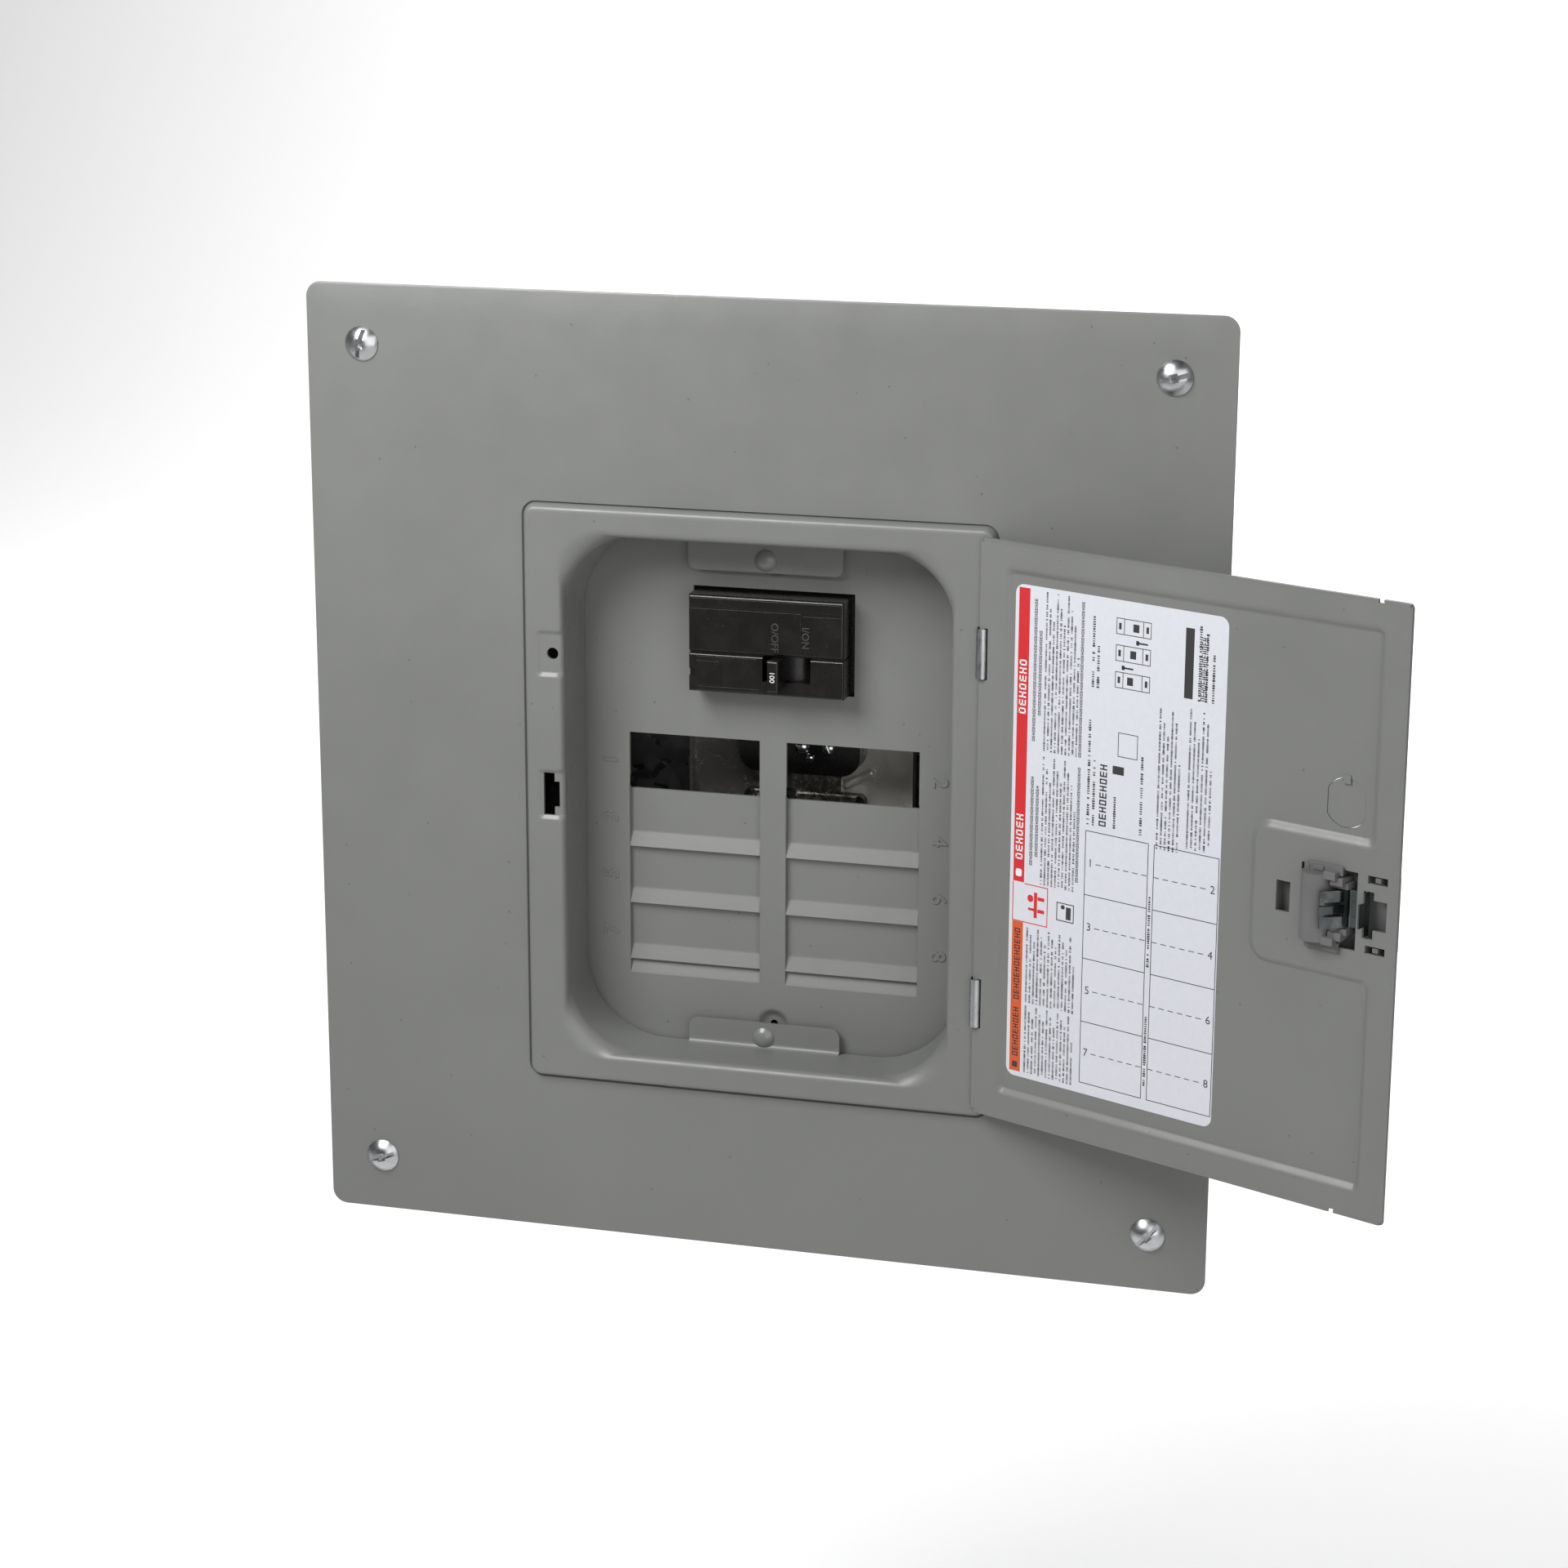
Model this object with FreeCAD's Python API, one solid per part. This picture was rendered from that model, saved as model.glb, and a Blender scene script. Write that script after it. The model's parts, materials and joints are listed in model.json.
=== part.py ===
import FreeCAD, Part

import math
import os

V = FreeCAD.Vector

# Residential load center: a flush wall box with an eight-space interior, a main breaker and a hinged door.
# X runs right and Z up. While it is drawn, Y is the depth behind the front face of the cover flange.
# The last step moves everything so that Y = 0 is the wall plane, and swings the door open.

# ---- driving dimensions, millimetres ----
BOX_W, BOX_H = 362.0, 381.0          # outside of the enclosure
TOTAL_DEPTH = 95.25                  # wall plane to the front of the cover flange
BOX_WALL = 1.4
SHEET = 1.5                          # cover and dead front steel
COVER_W, COVER_H, COVER_R = 391.0, 410.0, 6.5

FRAME_W, FRAME_H, FRAME_STEP, FRAME_R = 199.0, 248.7, 3.0, 4.0
FRAME_X, FRAME_Z = 0.3, -9.0         # centre of the raised frame
OPEN_W, OPEN_H, OPEN_Z = 166.4, 225.8, -9.0
MOUTH_R, THROAT_R, REAR_R = 17.0, 31.0, 36.0
THROAT_DEPTH, FUNNEL_DEPTH = 4.0, 26.0
MOUTH_ROLL = 2.5

SCREW_X, SCREW_Z = 170.7, 180.0      # cover screws
SCREW_TURNS = {(-1, 1): 75.0, (1, 1): 15.0, (-1, -1): 17.0, (1, -1): 47.0}

TAB_HALF_W, TAB_X, TAB_DEPTH = 33.6, -2.6, 24.0
TAB_TOP_Z, TAB_LOW_Z = 87.4, -110.8  # free edges of the two fixing tabs
RIVETS = [(-2.5, 92.6), (-2.8, -117.4)]
DIMPLES = [(0.9, 92.4), (0.4, -112.4)]

DEAD_FRONT = 28.0                    # depth of its front face
DEAD_W, DEAD_H = 192.0, 252.0
PITCH = 25.4                         # one branch space
ROWS = 4
COLUMN_IN, COLUMN_OUT = 5.8, 63.9    # inner and outer edge of a column of spaces
ROW_TOP = 14.06
PANEL_SINK, RAMP = 2.5, 6.5          # a blanked space lies this deep and ramps out over this height

MAIN_FACE = 15.5                     # depth of the main breaker's face
MAIN_X, MAIN_W = 0.0, 67.2
MAIN_TOP, MAIN_H = 78.4, 41.5
MAIN_SHOULDER = 31.5                 # depth of the shoulder behind the dead front
LUG_SHOULDER = 36.0                  # the case is lower above the dead front's cut-out
CASE_SPLIT, BASE_FLOOR = 60.0, 64.0  # where the two halves meet, and the back of the base's floor
LUG_X = (-18.0, 18.0)
HANDLE_X, HANDLE_Z = 8.9, 46.6       # pivot of the toggle
HANDLE_PIVOT = 33.0                  # depth of the pivot
HANDLE_TILT = 10.0                   # degrees from upright at OFF and ON
HANDLE_W, HANDLE_H = 5.2, 13.4
NECK_REACH, NECK_LOW = 20.0, 3.4     # radius where the lever widens, and the neck's reach below HANDLE_Z
PIVOT_R, RUNNING = 2.0, 0.06
ARM_X, ARM_DEPTH = -13.0, 52.0       # contact arm pivot

PAN_FRONT, PAN_W, PAN_H = 78.0, 101.0, 216.0
BASE_L, BASE_R = -25.5, 29.0         # sides of the insulating bases
BUS_FRONT, BUS_T = 69.8, 3.2
BUS_LEFT, BUS_RIGHT = (-22.0, -6.0), (-1.2, 26.0)
NECK_LEFT, NECK_RIGHT = (-20.0, -7.0), (-1.2, 19.7)

HINGE_X, HINGE_Y = 96.4, -4.4        # door hinge axis
CLIP_Z = (65.5, -83.0)
CLIP_H, CLIP_R, CLIP_T = 20.6, 2.5, 0.6
DOOR_SHEET = 1.2
DOOR_INNER = -3.8                    # depth of the rim's inner face when shut
DOOR_EDGE, DOOR_FREE = -0.9, 197.0   # hinge edge and free edge, measured from the hinge axis
DOOR_LOW, DOOR_TOP, DOOR_R = -130.9, 113.4, 2.0
PANEL_PRESS, PRESS_RAMP = 2.0, 4.0
DOOR_OPEN = 155.3                    # degrees open as drawn
LATCH_Z = -8.1                       # middle height of the latch

STRIKE_Z, LOCK_Z = -7.9, 53.2


# ---- plain shapes ----
def box(x0, x1, y0, y1, z0, z1):
    return Part.makeBox(x1 - x0, y1 - y0, z1 - z0, V(x0, y0, z0))


def rod_y(x, z, radius, y0, y1):
    return Part.makeCylinder(radius, y1 - y0, V(x, y0, z), V(0, 1, 0))


def rod_z(x, y, radius, z0, z1):
    return Part.makeCylinder(radius, z1 - z0, V(x, y, z0), V(0, 0, 1))


def cone_y(x, z, r0, r1, y0, y1):
    return Part.makeCone(r0, r1, y1 - y0, V(x, y0, z), V(0, 1, 0))


def dome_y(x, z, radius, height, y):
    """A shallow spherical cap that stands out towards -Y from the plane Y = y."""
    ball_r = (radius ** 2 + height ** 2) / (2 * height)
    ball = Part.makeSphere(ball_r, V(x, y - height + ball_r, z))
    return ball.common(box(x - radius, x + radius, y - height - 1, y, z - radius, z + radius))


def rounded_wire(x0, x1, z0, z1, radius, y):
    """Four straight sides and four quarter-circle corners in the plane Y = y."""
    diag = radius * (1 - math.sqrt(0.5))
    corners = [(x1, z1, 1, 1), (x0, z1, -1, 1), (x0, z0, -1, -1), (x1, z0, 1, -1)]
    edges = []
    for i, (cx, cz, sx, sz) in enumerate(corners):
        on_x = V(cx, y, cz - sz * radius)
        on_z = V(cx - sx * radius, y, cz)
        start, end = (on_x, on_z) if sx * sz > 0 else (on_z, on_x)
        mid = V(cx - sx * diag, y, cz - sz * diag)
        if edges:
            edges.append(Part.makeLine(previous, start))
        else:
            first = start
        edges.append(Part.Arc(start, mid, end).toShape())
        previous = end
    edges.append(Part.makeLine(previous, first))
    return Part.Wire(edges)


def rounded_plate(x0, x1, z0, z1, y0, y1, radius):
    face = Part.Face(rounded_wire(x0, x1, z0, z1, radius, y0))
    return face.extrude(V(0, y1 - y0, 0))


def centred_plate(cx, cz, width, height, y0, y1, radius):
    return rounded_plate(cx - width / 2, cx + width / 2, cz - height / 2, cz + height / 2, y0, y1, radius)


def prism(points, along):
    """A closed polygon of 3-D points, extruded by the vector along."""
    ring = [V(*p) for p in points]
    return Part.Face(Part.makePolygon(ring + ring[:1])).extrude(along)


def fused(shapes):
    whole = shapes[0]
    for shape in shapes[1:]:
        whole = whole.fuse(shape)
    return whole.removeSplitter()


def without(shape, tools):
    for tool in tools:
        shape = shape.cut(tool)
    return shape.removeSplitter()


def rounded(shape, radius, wanted):
    """Fillet the edges that the test picks out."""
    return shape.makeFillet(radius, [e for e in shape.Edges if wanted(e)])


def in_plane_y(edge, y):
    return abs(edge.BoundBox.YMin - y) < 0.01 and abs(edge.BoundBox.YMax - y) < 0.01


def widest_x(edge):
    return max(abs(edge.BoundBox.XMin), abs(edge.BoundBox.XMax))


def mirrored_span(side, inner, outer):
    """The X range from inner to outer on one side of the middle, in rising order."""
    return sorted((side * inner, side * outer))


def group(solids):
    return Part.makeCompound(solids)


def bent_strip(points, thickness, z0, z1):
    """A strip of sheet through points (x, y), with square mitred bends, z0 to z1 tall."""
    left, right = [], []
    for i, (px, py) in enumerate(points):
        before = points[max(i - 1, 0)]
        after = points[min(i + 1, len(points) - 1)]
        a1 = math.atan2(py - before[1], px - before[0]) if i else None
        a2 = math.atan2(after[1] - py, after[0] - px) if i < len(points) - 1 else None
        a1 = a2 if a1 is None else a1
        a2 = a1 if a2 is None else a2
        turn = math.remainder(a2 - a1, 2 * math.pi)
        normal = a1 + turn / 2 + math.pi / 2
        half = thickness / 2 / math.cos(turn / 2)
        left.append((px + half * math.cos(normal), py + half * math.sin(normal), z0))
        right.append((px - half * math.cos(normal), py - half * math.sin(normal), z0))
    return prism(left + right[::-1], V(0, 0, z1 - z0))


# ---- fasteners ----
def pan_screw(x, z, y, head_r=4.0, shank_r=2.0, length=10.0, turn=0.0):
    """A slotted pan-head screw: head towards -Y from Y = y, shank behind."""
    head = dome_y(x, z, head_r, 0.55 * head_r, y)
    slot = box(x - head_r, x + head_r, y - head_r, y - 0.3 * head_r, z - 0.14 * head_r, z + 0.14 * head_r)
    slot.rotate(V(x, y, z), V(0, 1, 0), turn)
    return fused([head.cut(slot), rod_y(x, z, shank_r, y, y + length)])


def cover_screw(sx, sz):
    """Truss-head combination screw: a slot across a small square socket."""
    x, z = sx * SCREW_X, sz * SCREW_Z
    head = dome_y(x, z, 7.25, 3.3, 0)
    slot = box(x - 8, x + 8, -5, -1.9, z - 0.8, z + 0.8)
    socket = box(x - 1.9, x + 1.9, -5, -1.2, z - 1.9, z + 1.9)
    cross = fused([slot, socket])
    cross.rotate(V(x, 0, z), V(0, 1, 0), -SCREW_TURNS[(sx, sz)])
    return fused([head.cut(cross), rod_y(x, z, 2.3, 0, 15.0)])


# ---- enclosure ----
KNOCKOUT_R = {"half": 11.1, "three_quarter": 14.1, "one": 17.4, "one_quarter": 21.9, "one_half": 25.2}


def knockout_groove(radius, thickness):
    """The sheared ring round a knockout, left joined by two ties; its axis is Z, centred on Z = 0."""
    ring = rod_z(0, 0, radius, -thickness, thickness).cut(rod_z(0, 0, radius - 0.5, -thickness, thickness))
    return ring.cut(box(-radius - 1, radius + 1, -1.2, 1.2, -thickness, thickness))


def enclosure_box():
    half_w, half_h = BOX_W / 2, BOX_H / 2
    back = TOTAL_DEPTH
    shell = box(-half_w, half_w, SHEET, back, -half_h, half_h)
    in_w, in_h = half_w - BOX_WALL, half_h - BOX_WALL
    shell = shell.cut(box(-in_w, in_w, 0, back - BOX_WALL, -in_h, in_h))
    ears = []
    for sx in (-1, 1):
        for sz in (-1, 1):
            x0, x1 = sorted((sx * (half_w - 24), sx * half_w))
            z0, z1 = sorted((sz * (half_h - 22), sz * half_h))
            ears.append(box(x0, x1, SHEET, SHEET + BOX_WALL, z0, z1))
    shell = fused([shell] + ears)
    holes = [rod_y(sx * SCREW_X, sz * SCREW_Z, 2.4, 0, 8) for sx in (-1, 1) for sz in (-1, 1)]
    holes += [rod_y(sx * 152.4, sz * 152.4, 3.6, back - 5, back + 1) for sx in (-1, 1) for sz in (-1, 1)]
    grooves = []
    row = [(-148, ["half"]), (-108, ["half"]), (-62, ["half", "three_quarter"]),
           (0, ["one", "one_quarter", "one_half"]),
           (62, ["half", "three_quarter"]), (108, ["half"]), (148, ["half"])]
    for x, sizes in row:
        for name in sizes:
            for z in (-half_h, half_h):
                groove = knockout_groove(KNOCKOUT_R[name], 3)
                grooves.append(groove.translated(V(x, 52, z)))
    for sx in (-1, 1):
        for z, sizes in [(-125, ["half"]), (-85, ["half", "three_quarter"]), (125, ["half"])]:
            for name in sizes:
                groove = knockout_groove(KNOCKOUT_R[name], 3)
                groove.rotate(V(0, 0, 0), V(0, 1, 0), 90)
                grooves.append(groove.translated(V(sx * half_w, 60, z)))
    for x, z in [(-120, 120), (120, 120), (-120, -135)]:
        groove = knockout_groove(KNOCKOUT_R["three_quarter"], 3)
        groove.rotate(V(0, 0, 0), V(1, 0, 0), 90)
        grooves.append(groove.translated(V(x, back, z)))
    return without(shell, holes + [group(grooves)])


# ---- cover trim ----
def flared_tube(x_half, z_half, stations):
    """Straight-sided tube whose corner radius changes with depth: stations are (y, radius)."""
    wires = [rounded_wire(-x_half, x_half, OPEN_Z - z_half, OPEN_Z + z_half, r, y) for y, r in stations]
    return Part.makeLoft(wires, True, True)


def fixing_tab(z_free, z_wall):
    """One lip of the formed opening, bent inwards to carry the dead front."""
    low, high = sorted((z_free, z_wall))
    x0, x1 = TAB_X - TAB_HALF_W, TAB_X + TAB_HALF_W
    lip = rounded_plate(x0, x1, low, high, TAB_DEPTH, TAB_DEPTH + SHEET, 3.5)
    near_wall = sorted((z_wall, z_wall + math.copysign(4.5, z_free - z_wall)))
    return lip.fuse(box(x0, x1, TAB_DEPTH, TAB_DEPTH + SHEET, *near_wall))


def strike_slot():
    """T-shaped slot: a tall part with a shorter step on its hinge side."""
    tall = box(-92.6, -87.7, -4, 3, STRIKE_Z - 9.3, STRIKE_Z + 9.3)
    step = box(-88, -85.5, -4, 3, STRIKE_Z - 5.6, STRIKE_Z + 5.6)
    return tall.fuse(step)


def cover_trim():
    fx, fz = FRAME_X, FRAME_Z
    flange = centred_plate(0, 0, COVER_W, COVER_H, 0, SHEET, COVER_R)
    plateau = centred_plate(fx, fz, FRAME_W, FRAME_H, -FRAME_STEP, SHEET, FRAME_R)
    plateau = rounded(plateau, 1.2, lambda e: in_plane_y(e, -FRAME_STEP))
    front = -FRAME_STEP
    hollow = centred_plate(fx, fz, FRAME_W - 2 * SHEET, FRAME_H - 2 * SHEET, front + SHEET, SHEET + 1, 2.5)
    half_w, half_h = OPEN_W / 2, OPEN_H / 2
    stations = [(front, MOUTH_R), (THROAT_DEPTH, THROAT_R), (FUNNEL_DEPTH, REAR_R)]
    outer = flared_tube(half_w + SHEET, half_h + SHEET, stations)
    rolled = flared_tube(half_w + SHEET + 1.6, half_h + SHEET + 1.6, [(front, MOUTH_R), (0, MOUTH_R)])
    bore = flared_tube(half_w, half_h, stations)
    sunk_pads = [(STRIKE_Z, 10.1), (LOCK_Z, 9.1)]
    pads = [box(-95.3, -83.0, front + 1.0, 1.0, z - half - SHEET, z + half + SHEET) for z, half in sunk_pads]
    pockets = [box(-93.8, -82.0, front - 1, -0.5, z - half, z + half) for z, half in sunk_pads]
    shape = without(fused([flange, plateau]), [hollow])
    shape = fused([shape, outer, rolled] + pads)
    shape = shape.cut(bore)
    shape = rounded(shape, MOUTH_ROLL, lambda e: in_plane_y(e, front) and widest_x(e) < half_w + 0.1)
    tabs = [fixing_tab(TAB_TOP_Z, OPEN_Z + half_h + 1), fixing_tab(TAB_LOW_Z, OPEN_Z - half_h - 1)]
    shape = fused([shape] + tabs)
    cuts = pockets + [strike_slot(), rod_y(-87.9, LOCK_Z, 2.5, -5, 4)]
    half_clip = CLIP_H / 2 + 0.4
    cuts += [box(HINGE_X - 2.3, HINGE_X + 2.3, -5, 0, z - half_clip, z + half_clip) for z in CLIP_Z]
    cuts += [rod_y(sx * SCREW_X, sz * SCREW_Z, 3.2, -1, 3) for sx in (-1, 1) for sz in (-1, 1)]
    cuts += [rod_y(x, z, 2.2, 20, 27) for x, z in RIVETS]
    return without(shape, cuts)


# ---- dead front ----
def blank_profile(x0, x1, shift):
    """Side profile of the blanked spaces, from the front plane back to the sunken panels."""
    front, sunk = DEAD_FRONT + shift, DEAD_FRONT + PANEL_SINK + shift
    top = ROW_TOP - PITCH
    points = [(x0, front - 5, top), (x0, sunk, top)]
    for row in range(1, ROWS):
        low = ROW_TOP - (row + 1) * PITCH
        points += [(x0, sunk, low + RAMP), (x0, front, low), (x0, sunk, low - 0.4)]
    points += [(x0, front, low - RAMP), (x0, front - 5, low - RAMP)]
    return prism(points, V(x1 - x0, 0, 0))


def dead_front():
    cz = OPEN_Z
    plate = centred_plate(0, cz, DEAD_W, DEAD_H, DEAD_FRONT, DEAD_FRONT + SHEET, 6)
    flange_z = (cz - DEAD_H / 2 + 8, cz + DEAD_H / 2 - 8)
    sides = [mirrored_span(s, DEAD_W / 2 - SHEET, DEAD_W / 2) for s in (-1, 1)]
    stiffeners = [box(*side, DEAD_FRONT + 0.2, DEAD_FRONT + 9, *flange_z) for side in sides]
    columns = [(-COLUMN_OUT, -COLUMN_IN), (COLUMN_IN, COLUMN_OUT)]
    floor_z = ROW_TOP - ROWS * PITCH - RAMP
    backs, fronts = [], []
    for x0, x1 in columns:
        bulge = blank_profile(x0 - SHEET, x1 + SHEET, SHEET)
        backs.append(bulge.common(box(-90, 90, DEAD_FRONT + 0.5, DEAD_FRONT + 9, floor_z, ROW_TOP - PITCH)))
        fronts.append(blank_profile(x0, x1, 0))
        fronts.append(box(x0, x1, DEAD_FRONT - 3, DEAD_FRONT + 9, ROW_TOP - PITCH, ROW_TOP))
    backs += [cone_y(x, z, 8.5, 5.0, DEAD_FRONT + SHEET - 0.1, DEAD_FRONT + SHEET + 2) for x, z in DIMPLES]
    fronts += [cone_y(x, z, 7.5, 3.5, DEAD_FRONT - 0.01, DEAD_FRONT + 2) for x, z in DIMPLES]
    fronts += [rod_y(x, z, 1.7, DEAD_FRONT, DEAD_FRONT + 6) for x, z in DIMPLES[1:]]
    fronts += [rod_y(x, z, 2.2, DEAD_FRONT - 1, DEAD_FRONT + 6) for x, z in RIVETS]
    main_hole = rounded_plate(MAIN_X - MAIN_W / 2 - 1.5, MAIN_X + MAIN_W / 2 + 1.8, MAIN_TOP - MAIN_H - 1.2,
                              MAIN_TOP + 1.4, DEAD_FRONT - 1, DEAD_FRONT + 4, 0.8)
    return without(fused([plate] + stiffeners + backs), fronts + [main_hole])


def dead_front_rivets():
    solids = []
    for x, z in RIVETS:
        head = dome_y(x, z, 4.6, 2.2, TAB_DEPTH)
        shank = rod_y(x, z, 2.05, TAB_DEPTH, DEAD_FRONT + 5)
        collar = rod_y(x, z, 3.6, TAB_DEPTH + SHEET, DEAD_FRONT)
        tail = rod_y(x, z, 3.4, DEAD_FRONT + SHEET + 2, DEAD_FRONT + SHEET + 3.4)
        solids.append(fused([head, shank, collar, tail]))
    return group(solids)


# ---- main breaker ----
def rivet_spots():
    """Corners where the two halves of the breaker are riveted, with the depth of each rivet's head."""
    low, high = MAIN_TOP - MAIN_H - 5.2, MAIN_TOP + 21.2
    return [(sx * 34.0, z, y) for sx in (-1, 1) for z, y in ((low, MAIN_SHOULDER), (high, LUG_SHOULDER))]


def main_breaker_case():
    """Moulded front half: a raised escutcheon on a wider shouldered housing, hollow inside."""
    x0, x1 = MAIN_X - MAIN_W / 2, MAIN_X + MAIN_W / 2
    z0, z1 = MAIN_TOP - MAIN_H, MAIN_TOP
    seam = z1 - 24.7
    upper = rounded(box(x0, x1, MAIN_FACE, MAIN_SHOULDER + 1, seam + 0.5, z1), 1.2,
                    lambda e: in_plane_y(e, MAIN_FACE))
    lower = rounded(box(x0, x1, MAIN_FACE + 0.3, MAIN_SHOULDER + 1, z0, seam - 0.5), 0.8,
                    lambda e: in_plane_y(e, MAIN_FACE + 0.3))
    core = box(x0 + 0.4, x1 - 0.4, MAIN_FACE + 1.3, MAIN_SHOULDER + 1, z0 + 1, z1 - 1)
    shoulder = box(x0 - 4, x1 + 4, MAIN_SHOULDER, CASE_SPLIT, z0 - 9, z1 + 4.5)
    housing = box(x0 - 4, x1 + 4, LUG_SHOULDER, CASE_SPLIT, z0 - 9, z1 + 25)
    bosses = [rod_y(x, z, 3.4, y, CASE_SPLIT) for x, z, y in rivet_spots()]
    cavity = box(x0 - 1.6, x1 + 1.6, MAIN_SHOULDER + 2.4, 61, z0 - 6.6, z1 + 2.1)
    upper_cavity = box(x0 - 1.6, x1 + 1.6, LUG_SHOULDER + 2.4, 61, z0 - 6.6, z1 + 22.6)
    well = box(x0 + 2.4, x1 - 2.4, MAIN_FACE + 3.2, MAIN_SHOULDER + 3, z0 + 2.4, z1 - 2.4)
    lower_z = (z0 + seam - 0.5) / 2
    mouth_z = (HANDLE_Z - NECK_LOW - 0.4, HANDLE_Z + 7.2)
    mouth = box(HANDLE_X - 10.4, HANDLE_X + 10.4, MAIN_FACE - 1, MAIN_SHOULDER, *mouth_z)
    notch = box(x0 - 1, x0 + 2.2, MAIN_FACE - 1, MAIN_FACE + 2.5, lower_z - 1.5, lower_z + 1.5)
    shape = fused([upper, lower, core, shoulder, housing])
    shape = without(shape, [cavity, upper_cavity, well, mouth, notch])
    insert = rounded_plate(x1 - 14.2, x1 - 0.6, z0 + 1.2, seam - 1.6, MAIN_FACE - 0.2, MAIN_FACE + 2, 2.5)
    bearings = [box(HANDLE_X - 4, HANDLE_X + 4, y, HANDLE_PIVOT + 4, z_a, z_b)
                for y, z_a, z_b in ((MAIN_FACE + 3, HANDLE_Z + 9, HANDLE_Z + 12),
                                    (HANDLE_PIVOT - 5, z0, z0 + 2.4))]
    shape = fused([shape, insert] + bearings + bosses)
    tang_slots = [box(x - 7.2, x + 7.2, 57.8, 61, z1 + 20, z1 + 26) for x in LUG_X]
    rivet_holes = [rod_y(x, z, 1.55, 30, 61) for x, z, y in rivet_spots()]
    return without(shape, [handle_pin()] + tang_slots + rivet_holes)


def breaker_handle():
    """Toggle with a drum that covers the slot and a lever wider than its neck; OFF leans it to -X."""
    drum_r = HANDLE_PIVOT - MAIN_FACE - 4.2
    drum = rod_z(HANDLE_X, HANDLE_PIVOT, drum_r, HANDLE_Z - 6.6, HANDLE_Z + 6.6)
    drum = drum.common(box(HANDLE_X - 12.5, HANDLE_X + 12.5, 0, HANDLE_PIVOT - 6, HANDLE_Z - 8, HANDLE_Z + 8))
    web = box(HANDLE_X - 3, HANDLE_X + 3, HANDLE_PIVOT - 8, HANDLE_PIVOT, HANDLE_Z - 6.6, HANDLE_Z + 6.6)
    hub = rod_z(HANDLE_X, HANDLE_PIVOT, 4.2, HANDLE_Z - 6.9, HANDLE_Z + 6.9)
    tip = HANDLE_PIVOT - MAIN_FACE + 7.2
    grip_x = (HANDLE_X - HANDLE_W / 2, HANDLE_X + HANDLE_W / 2)
    lever = box(*grip_x, HANDLE_PIVOT - tip, HANDLE_PIVOT - NECK_REACH,
                HANDLE_Z - HANDLE_H / 2, HANDLE_Z + HANDLE_H / 2)
    lever = rounded(lever, 0.9, lambda e: e.BoundBox.YMax < HANDLE_PIVOT - NECK_REACH - 1)
    neck = box(*grip_x, HANDLE_PIVOT - NECK_REACH, HANDLE_PIVOT - 8,
               HANDLE_Z - NECK_LOW, HANDLE_Z + HANDLE_H / 2)
    shape = fused([drum, web, hub, neck, lever])
    shape = shape.cut(rod_z(HANDLE_X, HANDLE_PIVOT, PIVOT_R + RUNNING, HANDLE_Z - 9, HANDLE_Z + 9))
    shape.rotate(V(HANDLE_X, HANDLE_PIVOT, 0), V(0, 0, 1), -HANDLE_TILT)
    return shape


def handle_pin():
    return rod_z(HANDLE_X, HANDLE_PIVOT, PIVOT_R, MAIN_TOP - MAIN_H + 0.6, HANDLE_Z + 12)


POLE_Z = (64.0, 88.0)                # heights of the two poles' contact arms


def contact_arms():
    """Two blades on one cross bar; each carries a silver button at its far end."""
    bar = rod_z(ARM_X, ARM_DEPTH, 4.5, POLE_Z[0] - 6, POLE_Z[1] + 6)
    blades = [box(ARM_X, ARM_X + 26, ARM_DEPTH - 1.2, ARM_DEPTH + 1.2, z - 3, z + 3) for z in POLE_Z]
    buttons = [rod_y(ARM_X + 23, z, 2.6, ARM_DEPTH + 1, ARM_DEPTH + 2.6) for z in POLE_Z]
    shape = fused([bar] + blades + buttons)
    shape = shape.cut(rod_z(ARM_X, ARM_DEPTH, 1.5 + RUNNING, 0, 120))
    shape.rotate(V(ARM_X, ARM_DEPTH, 0), V(0, 0, 1), -24)
    return shape


def contact_arm_pin():
    return rod_z(ARM_X, ARM_DEPTH, 1.5, POLE_Z[0] - 9.5, POLE_Z[1] + 9.5)


def main_breaker_base():
    """Rear half of the breaker: floor, pin bearings and the deep block that stands on the pan."""
    x0, x1 = MAIN_X - MAIN_W / 2 - 4, MAIN_X + MAIN_W / 2 + 4
    floor = box(x0, x1, CASE_SPLIT, BASE_FLOOR, MAIN_TOP - MAIN_H - 9, MAIN_TOP + 25)
    block = rounded_plate(BASE_L, BASE_R, -9.0, MAIN_TOP + 20, BASE_FLOOR, PAN_FRONT, 9.0)
    ear_z = (POLE_Z[0] - 9, POLE_Z[1] + 9)
    ears = [box(ARM_X - 4, ARM_X + 4, ARM_DEPTH - 4, 61, z - 2, z + 2) for z in ear_z]
    shape = fused([floor, block] + ears)
    holes = [rod_y(x, z, 1.55, 59, 65) for x, z, y in rivet_spots()]
    holes += [rod_y(x, z, shank, 60, 72) for x, z, head, shank, turn in BASE_SCREWS]
    return without(shape, [contact_arm_pin()] + holes)


def fixed_contacts():
    """L-shaped line contacts under the moving buttons, one for each pole."""
    solids = []
    for z in POLE_Z:
        strap = bent_strip([(6, 59.2), (18, 59.2), (18, 50), (30, 50)], 1.6, z - 3, z + 3)
        pad = rod_y(ARM_X + 23, z, 2.6, ARM_DEPTH + 2.9, 58.6)
        solids.append(fused([strap, pad]))
    return group(solids)


def case_rivets():
    rivets = [[rod_y(x, z, 1.5, y, BASE_FLOOR), dome_y(x, z, 2.6, 1.2, y)] for x, z, y in rivet_spots()]
    return group([fused(pair) for pair in rivets])


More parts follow.
